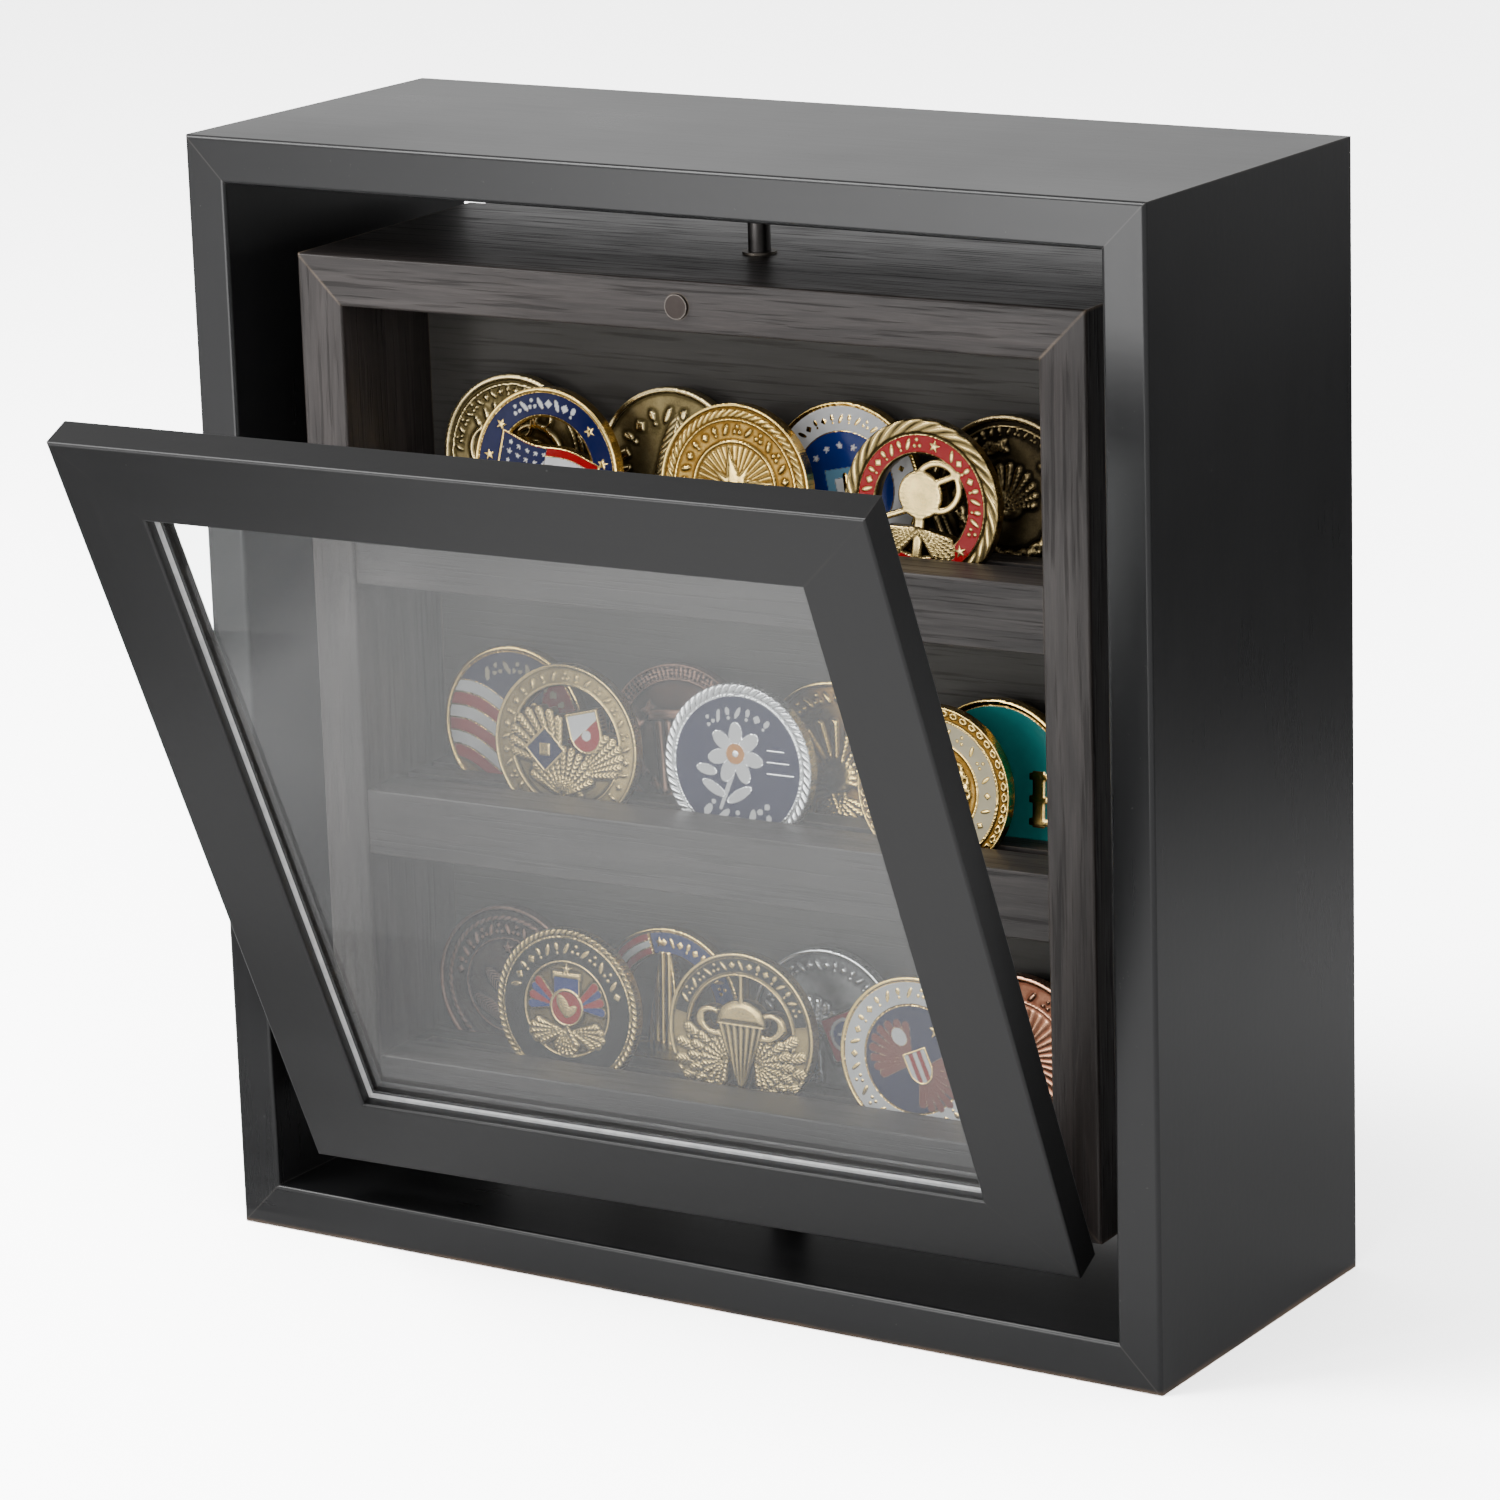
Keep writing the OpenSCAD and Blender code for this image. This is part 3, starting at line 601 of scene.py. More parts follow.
def feather_relief(c):
    c.rim("plain", 1.4)
    c.sprigs(7, 14.8, 2.6, 40, 27)
    x, y = turned(c.x + 1, c.y - 2, -14)
    s = oval(x, y, 3.4, 14)
    c.up(s, -0.03, 1.6, 0.66 + 0.34 * np.cos((y + abs(x) * 1.3) * 3.4))
    c.up(bar(x, y, 0, -16, 0, 13, 0.42, 0.15), 0.0, 0.3)
    c.leaf(9, -6, 2.2, 6, -40)
    c.leaf(-9, -7, 2.2, 6, 40)


def blue_stars(c):
    c.rim("plain", 0.8)
    c.fill(c.band(14.6, 21.3), WHITE)
    c.sprigs(13, 17.8, 1.45, 12, 13)
    c.fill(14.6 - c.q, BLUE)
    c.stars(5, 10.8, 1.25, 46, 22, WHITE)
    s = shield(c.x, c.y, 11, 13, 0.5, -1.5, 4)
    c.fill(s, SKY)
    c.fill(shield(c.x, c.y, 6, 7.5, 0.5, -1.3, 4), WHITE)
    c.up(bar(c.x, c.y, 0.5, -5, 0.5, 3, 0.7), -0.05, 0.4)


def deep_wreath(c):
    c.rim("plain", 1.3)
    c.wreath(14.2, 9, 3.4, -0.02)
    c.line(19.4, 0.5)
    c.sprigs(11, 18.0, 1.2, 30, 12)
    c.up(disc(c.x, c.y, 4.8), -0.1, 3)
    c.feathers(0, -2, 150, 30, 9, 11, 1.0)


def banner(c):
    c.rim("plain", 1.1)
    c.fill(c.band(14.9, 21.0), NAVY)
    c.stars(5, 17.9, 1.75, 140, 30)
    c.stars(5, 17.9, 1.75, 40, -30)
    c.sprigs(6, 18.0, 1.8, 62, 11.5, colour=WHITE)
    x, y = turned(c.x, c.y + 2, -12)
    wave = y - 0.7 * np.sin(x * 0.28)
    flag = np.minimum(15.5 - abs(x), 8.6 - abs(wave))
    c.cut(14.3 - c.q)
    c.keep(flag)
    c.up(flag, -0.1, 0.3)
    for k in range(7):
        lo = -8.4 + k * 2.4
        stripe = np.minimum(15 - abs(x), 1.16 - abs(wave - lo - 1.2))
        c.fill(stripe, WHITE if k % 2 else RED, line=0.08)
    canton = np.minimum(np.minimum(x + 15, -1.2 - x), np.minimum(wave + 1.1, 8.2 - wave))
    c.fill(canton, NAVY, line=0.1)
    gx, gy = (x + 30) % 2.7 - 1.35, (wave + 30) % 2.5 - 1.25
    c.fill(np.minimum(star(gx, gy, 0.85), canton - 0.3), WHITE, line=0.04)


def gold_compass(c):
    c.rim("plain", 0.9)
    c.rope(19.7, 2.3, 58, -0.02)
    c.line(18.0, 0.35)
    c.sprigs(19, 15.3, 1.55, 90)
    c.line(12.2, 0.7)
    c.rays(40, 4, 11.6, -0.34)
    c.up(star(c.x, c.y, 11, 4, 0.3), -0.05, 1.6)
    c.up(star(*turned(c.x, c.y, 45), 7.6, 4, 0.34), -0.1, 1.2)
    c.up(disc(c.x, c.y, 2.3), 0.0, 1.6)


def red_ring(c):
    c.rim("rope", 3.4, 26)
    c.fill(c.band(13.6, 18.3), RED, -0.25)
    c.stars(3, 15.95, 1.8, 82, 120)
    c.sprigs(7, 15.95, 1.7, 100, 14)
    c.sprigs(7, 15.95, 1.7, -16, 13)
    c.sprigs(7, 15.95, 1.7, 226, 13)
    c.cut(13.1 - c.q)
    ball = disc(c.x, c.y, 6.4, -0.5, 2.6)
    for s in (ball, bar(c.x, c.y, 3, 6, 9.6, 9.6, 1.0), bar(c.x, c.y, 0, -3, 0, -14, 1.5),
              np.minimum(1.0 - abs(np.hypot(c.x - 4.2, c.y - 5.4) - 6.2), c.arc(-40, 110)),
              bar(c.x, c.y, -4, -2, -12.6, -6, 0.9)):
        c.keep(s)
        c.up(s, -0.08, 0.7)
    c.feathers(0, -6.5, 190, 228, 6, 11, 1.25, keep=True)
    c.feathers(0, -6.5, -10, -48, 6, 11, 1.25, keep=True)
    c.up(ball, 0.06, 5.5, 0.86 + 0.14 * np.sign(np.sin(c.y * 5.2)))
    c.leaf(-1.6, 3.4, 1.5, 3.4, -30, 0.08)
    c.up(bar(c.x, c.y, 0.6, 1.0, 2.4, 4.4, 0.9, 0.5), 0.07, 0.5)


def stripes(c):
    c.rim("plain", 1.2)
    w = c.y + 2.2 * np.sin(c.x * 0.16 + 0.6)
    for k in range(6):
        c.fill(np.minimum(20.7 - c.q, 1.78 - abs(w + 14.5 - 3.7 * k)), WHITE if k % 2 else RED)
    c.fill(np.minimum(20.7 - c.q, w - 5.8), NAVY)
    c.fill(np.minimum(np.minimum(20.7 - c.q, w - 5.8), c.x - 7), RED)
    c.sprigs(6, 16.2, 2.1, 40, 19, colour=CREAM)
    c.up(disc(c.x, c.y, 6.2, 5, -1), -0.05, 3)
    c.feathers(5, -2, 20, 160, 9, 9.5, 1.1)


def chequer_column(c):
    c.rim("chequer", 3.6, 46)
    c.line(18.2, 0.4)
    for k in range(5):
        c.up(bar(c.x, c.y, -6 + 3 * k, -12, -6 + 3 * k, 6, 1.2), -0.08, 1.1)
    c.up(block(c.x, c.y, 18, 3, 0, 8.5), -0.05, 0.8)
    c.up(block(c.x, c.y, 20, 2.4, 0, -14), -0.05, 0.8)
    c.wreath(13.5, 6, 2.6)


def sun_relief(c):
    c.rim("plain", 1.3)
    c.sprigs(9, 17.8, 2.0, 26, 16)
    c.feathers(0, -4, 195, -15, 13, 15, 1.3)
    c.up(disc(c.x, c.y, 5.4, 0, -3), -0.02, 4)
    c.feathers(2, -8, 200, 250, 5, 10, 1.3)
    c.feathers(-2, -8, -20, -70, 5, 10, 1.3)


def teal_pillar(c):
    c.rim("plain", 1.3)
    c.fill(20.6 - c.q, TEAL)
    x, y = turned(c.x + 3, c.y - 8, -32)
    bend = np.maximum(bar(x, y, -6, 3, 5, 0, 0.9, 1.5), bar(x, y, 5, 0, 1.5, -5, 1.5, 0.3))
    c.up(bend, -0.04, 0.8)
    for k in range(3):
        c.up(block(c.x, c.y, 5.6, 1.9, 12, 3 - 6 * k), -0.03, 0.6)
    c.up(block(c.x, c.y, 3.6, 15, 12, -3), -0.06, 0.6)
    c.fill(oval(c.x, c.y, 6.5, 9.5, -8, -7, 10), NAVY)
    c.up(disc(c.x, c.y, 2.6, -8, -5), -0.05, 1)


def brass_shield(c):
    c.rim("plain", 0.9)
    c.up(c.band(16.6, 21.6), -0.3, 0.4)
    c.sprigs(22, 19.0, 1.5, 90, top=-0.02)
    c.line(16.9, 0.6)
    c.cut(16.3 - c.q)
    c.keep(np.minimum(16.8 - c.q, -4.5 - c.y))
    c.feathers(-2, -6, 168, 92, 8, 17.5, 1.35, keep=True)
    c.feathers(4, -8, 62, 8, 7, 15, 1.3, keep=True)
    c.feathers(-1, -14, 150, 30, 11, 13, 1.2, keep=True)
    dia = block(c.x, c.y, 9.5, 9.5, -6.6, -1.5, 45)
    c.keep(dia)
    c.up(dia, -0.05, 0.4)
    c.fill(block(c.x, c.y, 8.2, 8.2, -6.6, -1.5, 45), NAVY)
    c.up(block(c.x, c.y, 3.4, 3.4, -6.6, -1.5, 0), -0.02, 0.6)
    sh = shield(c.x, c.y, 10.5, 12, 6.2, 4.2, 14)
    c.keep(sh)
    c.up(sh, 0.0, 0.4)
    c.fill(shield(c.x, c.y, 9.2, 10.6, 6.2, 4.2, 14), WHITE)
    x, y = turned(c.x - 6.2, c.y - 4.2, 14)
    c.fill(np.minimum(shield(c.x, c.y, 9.2, 10.6, 6.2, 4.2, 14), x * 0.55 - y + 0.6), RED)
    c.fill(disc(x, y, 1.5, 0.2, -0.8), WHITE)
    c.leaf(0, -11, 2.2, 6, 62)


def silver_blue(c):
    c.rim("rope", 2.6, 60)
    c.line(19.3, 0.4, 0.0)
    c.fill(19.0 - c.q, NAVY)
    c.sprigs(7, 14.4, 2.9, -54, -12, colour=WHITE)
    c.sprigs(7, 14.4, 1.9, 126, -12, colour=WHITE)
    for k in range(3):
        c.up(bar(c.x, c.y, 17 - k * 1.5, -1 + 3.1 * k, 9, -1 + 3.1 * k, 0.2), -0.08, 0.2)
    c.fill(bar(c.x, c.y, -1.5, -2, -5, -11.5, 0.75, 0.55), WHITE, -0.12, 0.1)
    for cx, cy, b, d in ((-7.2, -6.4, 4.0, 62), (0.6, -7.6, 4.4, -58), (-9.4, -1.6, 3.2, 80)):
        c.fill(oval(c.x, c.y, 1.5, b, cx, cy, d), WHITE, -0.12)
    for k in range(7):
        a = math.radians(90 + k * 360 / 7)
        cx, cy = -0.6 + 5.1 * math.cos(a), 3.4 + 5.1 * math.sin(a)
        c.fill(oval(c.x, c.y, 2.05, 3.5, cx, cy, math.degrees(a) - 90), WHITE, -0.1)
    c.fill(disc(c.x, c.y, 2.9, -0.6, 3.4), ORANGE, -0.05)
    c.up(disc(c.x, c.y, 0.9, -0.6, 3.4), 0.0, 0.6)


def cream_chain(c):
    c.rim("chain", 2.6, 44)
    c.line(18.9, 0.4)
    c.fill(c.band(13.2, 18.6), CREAM, -0.3)
    c.sprigs(16, 15.9, 1.6)
    c.line(12.9, 0.6)
    c.wreath(9.6, 7, 2.4)
    c.up(disc(c.x, c.y, 4.4), -0.05, 3)


def copper_leaf(c):
    c.rim("plain", 1.0)
    c.rope(18.9, 1.4, 56)
    c.sprigs(11, 15.8, 1.8, 30, 14)
    c.stars(1, 10.5, 2.0)
    c.line(13.2, 0.4)
    for cx, cy, d in ((-3, 0, 48), (3, -2, -40), (0, -6, 8), (-6, -7, 60), (6, -8, -60)):
        c.leaf(cx, cy, 2.3, 6.2, d)


def flag_arc(c):
    c.rim("plain", 0.9)
    ring = c.band(15.2, 21.2)
    for k in range(3):
        stripe = np.minimum(c.band(15.3 + 2 * k, 17.2 + 2 * k), c.arc(108, 195))
        c.fill(stripe, WHITE if k % 2 else RED, line=0.1)
    c.fill(np.minimum(ring, c.arc(-15, 106)), BLUE)
    c.sprigs(7, 18.2, 1.7, 22, 12)
    c.stars(1, 18.2, 1.7, 98)
    c.cut(14.8 - c.q)
    col = np.minimum(2.1 + 0.16 * (14 - c.y) - abs(c.x + 1), 15.5 - abs(c.y))
    c.keep(col)
    c.up(col, -0.05, 0.5, 0.8 + 0.2 * np.sign(np.cos(c.x * 3.4)))
    foot = np.minimum(16 - c.q, -9.5 - c.y)
    c.keep(foot)
    c.up(foot, -0.1, 0.6)


def silver_tile(c):
    c.rim("plain", 1.1)
    c.sprigs(12, 18.0, 1.7, 30, 13)
    c.feathers(-3, -4, 60, 165, 9, 12, 1.2)
    c.feathers(-2, -6, 185, 270, 8, 11, 1.2)
    t = block(c.x, c.y, 13, 13, 6.5, -0.5, 24)
    c.up(t, -0.04, 0.3)
    c.fill(block(c.x, c.y, 12, 12, 6.5, -0.5, 24), RED)
    c.fill(disc(c.x, c.y, 4.9, 6.5, -0.5), WHITE)
    c.fill(disc(c.x, c.y, 4.0, 6.5, -0.5), BLUE)
    c.fill(star(c.x, c.y, 3.0, 4, 0.4, 6.5, -0.5), WHITE, line=0.06)


def copper_sun(c):
    c.rim("plain", 1.2)
    c.sprigs(16, 17.6, 1.7)
    c.line(15.4, 0.4)
    c.rays(36, 6, 14.6, -0.2)
    c.up(disc(c.x, c.y, 6), -0.03, 4)


def black_badge(c):
    c.rim("rope", 1.7, 74)
    c.line(20.2, 0.3)
    c.fill(c.band(13.4, 20.0), INK, -0.3)
    c.sprigs(13, 16.9, 1.9, 18, 12)
    c.stars(1, 11.0, 1.9)
    c.line(13.2, 0.5)
    for side in (-1, 1):
        for k in range(4):
            x1 = side * (6.5 + 4.6 * math.cos(math.radians(8 + 17 * k)))
            y1 = 1.8 + 6.2 * math.sin(math.radians(-14 + 24 * k))
            plume = bar(c.x, c.y, side * 3.0, 1.0, x1, y1, 0.6, 1.25)
            c.fill(plume, RED if k % 2 else BLUE, line=0.12)
    c.up(block(c.x, c.y, 9, 2.0, 0, 9.2), -0.05, 0.5)
    c.fill(block(c.x, c.y, 8, 5.2, 0, 6.3), BLUE)
    c.up(disc(c.x, c.y, 5.4, 0, 0.3), -0.03, 0.6)
    c.fill(disc(c.x, c.y, 4.7, 0, 0.3), RED)
    c.leaf(-1.0, 0.8, 1.7, 3.4, 30)
    c.leaf(1.2, -0.6, 1.2, 2.6, -50)
    for side in (-1, 1):
        c.feathers(side * 1.5, -6.5, 90 - side * 75, 90 - side * 118, 5, 9.5, 1.3)
    c.feathers(0, -5, 240, 300, 7, 7.5, 1.2)


def wings_and_canopy(c):
    c.rim("plain", 1.1)
    c.up(c.band(16.0, 21.4), -0.42, 0.3)
    c.line(16.2, 0.8, -0.03)
    c.fill(np.minimum(c.band(16.9, 20.9), c.arc(12, 168)), INK, -0.36)
    c.sprigs(12, 18.9, 1.7, 25, 11.8)
    c.cut(15.8 - c.q)
    for side in (-1, 1):
        mid = 90 - side * 90
        for a0, a1, ln, w in ((74, -62, 14.5, 1.75), (58, -70, 10.6, 1.5), (40, -80, 7.0, 1.3)):
            c.feathers(side * 4.6, -8.2, mid + side * a0, mid + side * a1, 8, ln, w, keep=True)
        hole = oval(c.x, c.y, 3.3, 2.4, side * 8.4, 2.6, side * 20)
        c.cut(hole)
        lip = 0.9 - abs(hole + 0.7)
        c.keep(np.minimum(lip, 15.8 - c.q))
        c.up(lip, 0.0, 0.8)
    dome = np.minimum(oval(c.x, c.y, 7.6, 6.0, 0, 3.2), c.y - 2.4)
    cone = np.minimum(np.minimum(2.6 - c.y, 17 + c.y), 7.4 * (c.y + 17.5) / 20.4 - abs(c.x))
    for s in (dome, cone):
        c.keep(s)
    ribs = 0.74 + 0.26 * np.cos(c.x / np.maximum(0.25 + (c.y + 17.5) / 20.4, 0.3) * 3.7)
    c.h = np.where(np.maximum(dome, cone) > 0, -c.field, c.h)
    c.ink = np.minimum(c.ink, -np.maximum(dome, cone))
    c.up(dome, 0.1, 3.4)
    c.up(cone, 0.02, 0.7, ribs)
    c.up(0.35 - abs(c.y - 2.4) - np.maximum(abs(c.x) - 7.2, 0), 0.1, 0.35)
    c.up(bar(c.x, c.y, 0, 9, 0, 16, 0.7), -0.1, 0.6)
    c.keep(bar(c.x, c.y, 0, 9, 0, 16.5, 0.7))


def winged_badge(c):
    c.rim("plain", 1.1)
    c.fill(c.band(14.9, 21.0), WHITE)
    c.sprigs(22, 18.0, 1.7, 84)
    c.fill(14.6 - c.q, NAVY)
    c.feathers(-1, -1, 100, 206, 9, 12.2, 1.15, colour=RUSSET)
    c.feathers(2, -3, 30, -86, 9, 12.0, 1.15, colour=RUSSET)
    c.up(shield(c.x, c.y, 7.4, 9.5, 1.6, -2, 24), -0.04, 0.3)
    x, y = turned(c.x - 1.6, c.y + 2, 24)
    for k in range(5):
        stripe = np.minimum(shield(x, y, 6.6, 8.6), 0.62 - abs(x + 2.6 - 1.3 * k))
        c.fill(stripe, RED if k % 2 else WHITE, line=0.05)
    c.fill(oval(c.x, c.y, 2.1, 2.7, -4.6, 5.6, 40), WHITE)
    c.up(star(c.x, c.y, 2.4, 5, 0.42, 6.5, 8.5), -0.04, 0.6)


# metals: the colour of their hollows, that of their high places, and their roughness there
BRASS = ((0.035, 0.025, 0.009), (0.74, 0.54, 0.22), 0.22)
PALE_BRASS = ((0.075, 0.056, 0.022), (0.80, 0.63, 0.31), 0.25)
GOLD = ((0.15, 0.075, 0.012), (1.0, 0.71, 0.24), 0.13)
BRONZE = ((0.016, 0.012, 0.007), (0.36, 0.27, 0.13), 0.33)
SILVER = ((0.055, 0.055, 0.056), (0.66, 0.66, 0.67), 0.22)
BRIGHT = ((0.45, 0.45, 0.46), (0.90, 0.90, 0.92), 0.16)
DARK_COPPER = ((0.020, 0.011, 0.009), (0.33, 0.19, 0.14), 0.36)
COPPER = ((0.16, 0.060, 0.035), (0.78, 0.42, 0.27), 0.22)

# each row from left to right: the design, its metal, how far it is turned in degrees, and how
# deep its field lies below the rim
ROWS = {
    "top_rear": ((swirl_relief, PALE_BRASS, 12, 0.6), (feather_relief, PALE_BRASS, 0, 0.6),
                 (blue_stars, GOLD, 8, 0.45), (deep_wreath, BRONZE, -20, 0.95)),
    "top_front": ((banner, GOLD, 0, 0.5), (gold_compass, GOLD, 10, 0.55),
                  (red_ring, BRASS, -6, 0.7)),
    "middle_rear": ((stripes, GOLD, -14, 0.5), (chequer_column, DARK_COPPER, 6, 0.65),
                    (sun_relief, GOLD, 4, 0.8), (teal_pillar, GOLD, 0, 0.5)),
    "middle_front": ((brass_shield, BRASS, 0, 0.8), (silver_blue, BRIGHT, 0, 0.45),
                     (cream_chain, GOLD, 0, 0.6)),
    "bottom_rear": ((copper_leaf, DARK_COPPER, 0, 0.6), (flag_arc, GOLD, 0, 0.5),
                    (silver_tile, SILVER, 0, 0.6), (copper_sun, COPPER, 0, 0.5)),
    "bottom_front": ((black_badge, BRASS, 0, 0.6), (wings_and_canopy, BRASS, 0, 0.75),
                     (winged_badge, GOLD, 0, 0.5)),
}


# all in millimetres
COIN_STEP = {"front": 0.26, "rear": 0.34}    # grid step of the faces in each row
COIN_EASE = 0.02                             # the face stays this far inside the CAD coin
BEVEL, BEVEL_DROP = 0.3, 0.2                 # the rounded outer edge: its width and fall
CLEAR = 0.04                                 # least distance from a grid point to the outline


def blur(a, n):
    """Mean over a square of 2n + 1 points a side."""
    for axis in (0, 1):
        a = sum(np.roll(a, k, axis) for k in range(-n, n + 1)) / (2 * n + 1)
    return a


def coin_material(name, metal, seed):
    """Metal that is dark in the hollows and polished on top, under glossy enamel where poured."""
    dark, bright, rough = metal
    m = Nodes(name)
    relief = m.add("ShaderNodeAttribute", out="Fac", props={"attribute_name": "relief"})
    ink = m.add("ShaderNodeAttribute", out="Fac", props={"attribute_name": "ink"})
    tint = m.add("ShaderNodeAttribute", out="Color", props={"attribute_name": "tint"})
    co = m.add("ShaderNodeMapping", Vector=m.coords(), Location=(seed, 0.3 * seed, 0.7 * seed))
    fine = m.noise(co, 2600, 3, 0.6)
    cloud = m.noise(co, 150, 4, 0.6)
    tone = m.math("ADD", relief, m.swing(cloud, 0.5))
    tone = m.math("ADD", tone, m.swing(fine, 0.22))
    mid = [a * 0.62 + b * 0.38 for a, b in zip(dark, bright)]
    col = m.ramp(tone, [(0.12, dark), (0.5, mid), (0.88, bright)])
    mask = m.range(ink, -0.035, 0.035, 0, 1)
    shade = m.mix(m.spread(cloud, 0, 0.12), tint, (0.0, 0.0, 0.0))
    r = m.range(tone, 0.1, 0.9, rough + 0.20, rough - 0.05)
    r = m.math("ADD", r, m.spread(fine, -0.03, 0.05))
    r = m.add("ShaderNodeMix", Factor=mask, i2=r, i3=m.spread(cloud, 0.14, 0.24))
    return m.finish(Base_Color=m.mix(mask, col, shade),
                    Metallic=m.math("SUBTRACT", 1.0, mask, clamp=True),
                    Roughness=r, Normal=m.bump(fine, 0.02, 0.5), Specular_IOR_Level=0.15)


def coin_places(node):
    """Centre, axes (right, up, out of the face), radius and thickness of each coin in a CAD row."""
    me = NODES[node].data
    co = np.zeros(len(me.vertices) * 3)
    me.vertices.foreach_get("co", co)
    co = co.reshape(-1, 3)
    front = CASE_ROT @ Vector((0, -1, 0))
    faces = [p.normal * p.area for p in me.polygons if p.normal.dot(front) > 0.9]
    normal = sum(faces, Vector()).normalized()
    right = CASE_ROT @ Vector((1, 0, 0))
    u = co @ np.array(right)
    order = np.argsort(u)
    groups = np.split(order, np.where(np.diff(u[order]) > 0.002)[0] + 1)
    up = normal.cross(right)
    axes = np.array([right, up, normal])
    found = []
    for g in groups:
        p = co[g] @ axes.T
        lo, hi = p.min(0), p.max(0)
        found.append((Vector(axes.T @ ((lo + hi) / 2)), axes, (hi[0] - lo[0]) / 2, hi[2] - lo[2]))
    return found


def coin_mesh(name, c, place):
    """The struck face, clipped along the coin's edge and openings, with walls and a flat back."""
    centre, axes, _, thick = place
    s = np.where(abs(c.solid) < CLEAR, CLEAR * np.where(c.solid < 0, -1, 1), c.solid)
    edge = np.clip(s / BEVEL, 0, 1)
    h = np.clip(c.h, -c.field, 0) - BEVEL_DROP * (1 - np.sqrt(1 - (1 - edge) ** 2))
    cavity = h - blur(h, 3)
    relief = np.clip(0.45 * (h + c.field) / c.field + 0.55 * (0.46 + cavity * 4.2), 0, 1)
    ink = np.clip(c.ink, -0.5, 0.5)
    data = np.stack([c.gx, c.gy, h, ink, relief, *np.moveaxis(c.tint, 2, 0)], -1).reshape(-1, 8)
    inside, flat = s > 0, s.ravel()
    count = inside[:-1, :-1].astype(int) + inside[:-1, 1:] + inside[1:, :-1] + inside[1:, 1:]
    ids = np.arange(s.size).reshape(s.shape)
    i, j = np.where(count == 4)
    faces = np.stack([ids[i, j], ids[i, j + 1], ids[i + 1, j + 1], ids[i + 1, j]], -1).tolist()
    rows, made, walls = list(data), {}, []

    def crossing(a, b):
        """The point where the outline crosses the grid line from a to b."""
        key = (min(a, b), max(a, b))
        if key not in made:
            a, b = key
            t = flat[a] / (flat[a] - flat[b])
            made[key] = len(rows)
            mixed = data[a] * (1 - t) + data[b] * t
            mixed[5:] = data[a if flat[a] > 0 else b][5:]
            rows.append(mixed)
        return made[key]

    for i, j in zip(*np.where((count > 0) & (count < 4))):
        a, b, d, e = ids[i, j], ids[i, j + 1], ids[i + 1, j + 1], ids[i + 1, j]
        for tri in ((a, b, d), (a, d, e)):
            poly, cross = [], []
            for p, q in zip(tri, tri[1:] + tri[:1]):
                if flat[p] > 0:
                    poly.append(int(p))
                if (flat[p] > 0) != (flat[q] > 0):
                    poly.append(crossing(p, q))
                    cross.append((poly[-1], flat[p] > 0))
            if len(poly) >= 3:
                faces.append(poly)
            if len(cross) == 2:
                (p, leaving), (q, _) = cross
                walls.append((p, q) if leaving else (q, p))
    rows = np.array(rows)
    used = np.unique(np.concatenate([np.ravel(f) for f in faces]))
    remap = np.full(len(rows), -1)
    remap[used] = np.arange(len(used))
    rows = rows[used]
    faces = [[int(remap[k]) for k in f] for f in faces]
    walls = [(int(remap[p]), int(remap[q])) for p, q in walls]
    rim = sorted({k for w in walls for k in w})
    behind = {k: len(rows) + i for i, k in enumerate(rim)}
    back = rows[rim].copy()
    back[:, 2] = -thick * M_TO_MM
    back[:, 4] = 0.5
    rows = np.concatenate([rows, back])
    faces += [[p, behind[p], behind[q], q] for p, q in walls]
    offset = np.array(centre) + axes[2] * thick / 2
    co = rows[:, :3] / M_TO_MM @ axes + offset
    me = bpy.data.meshes.new(name)
    me.from_pydata(co.tolist(), [], faces)
    bm = bmesh.new()
    bm.from_mesh(me)
    bm.verts.ensure_lookup_table()
    outline = [bm.edges.get((bm.verts[p], bm.verts[q])) for p, q in walls]
    links = [bm.edges.get((bm.verts[behind[p]], bm.verts[behind[q]])) for p, q in walls]
    bmesh.ops.triangle_fill(bm, use_beauty=True, use_dissolve=False, edges=links)
    bmesh.ops.recalc_face_normals(bm, faces=bm.faces)
    for f in bm.faces:
        f.smooth = True
    for e in outline + links:
        e.smooth = False
    bm.to_mesh(me)
    bm.free()
    for key, column in (("ink", 3), ("relief", 4)):
        values = rows[:, column].astype(np.float32)
        me.attributes.new(key, "FLOAT", "POINT").data.foreach_set("value", values)
    tint = np.concatenate([rows[:, 5:8], np.ones((len(rows), 1))], 1).astype(np.float32)
    me.attributes.new("tint", "FLOAT_COLOR", "POINT").data.foreach_set("color", tint.ravel())
    return me


for row, designs in ROWS.items():
    node = row + "_row_coins"
    step = COIN_STEP[row.split("_")[1]]
    for k, (place, (design, metal, spin, field)) in enumerate(zip(coin_places(node), designs)):
        coin = Coin(place[2] * M_TO_MM - COIN_EASE, step, spin, field)
        design(coin)
        name = f"{row}_coin_{k + 1}"
        mesh = coin_mesh(name, coin, place)
        seed = len(bpy.data.meshes) * 0.31      # another patch of the noise for each coin
        mesh.materials.append(coin_material(name + "_metal", metal, seed))
        obj = bpy.data.objects.new(name, mesh)
        SCENE.collection.objects.link(obj)
        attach(obj, "display_case")
        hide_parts(node)


# ---------------------------------------------------------------- floor, light and camera

FLOOR_WHITE = 8.0       # the floor as the camera sees it: a sweep lit until it burns out
CARD_Z = 0.004          # height of the cards that lie on the floor
AIM = (0, 0, 0.15)      # what the large lights point at, the middle of the frame
COIN_AIM = (0, 0, 0.17)


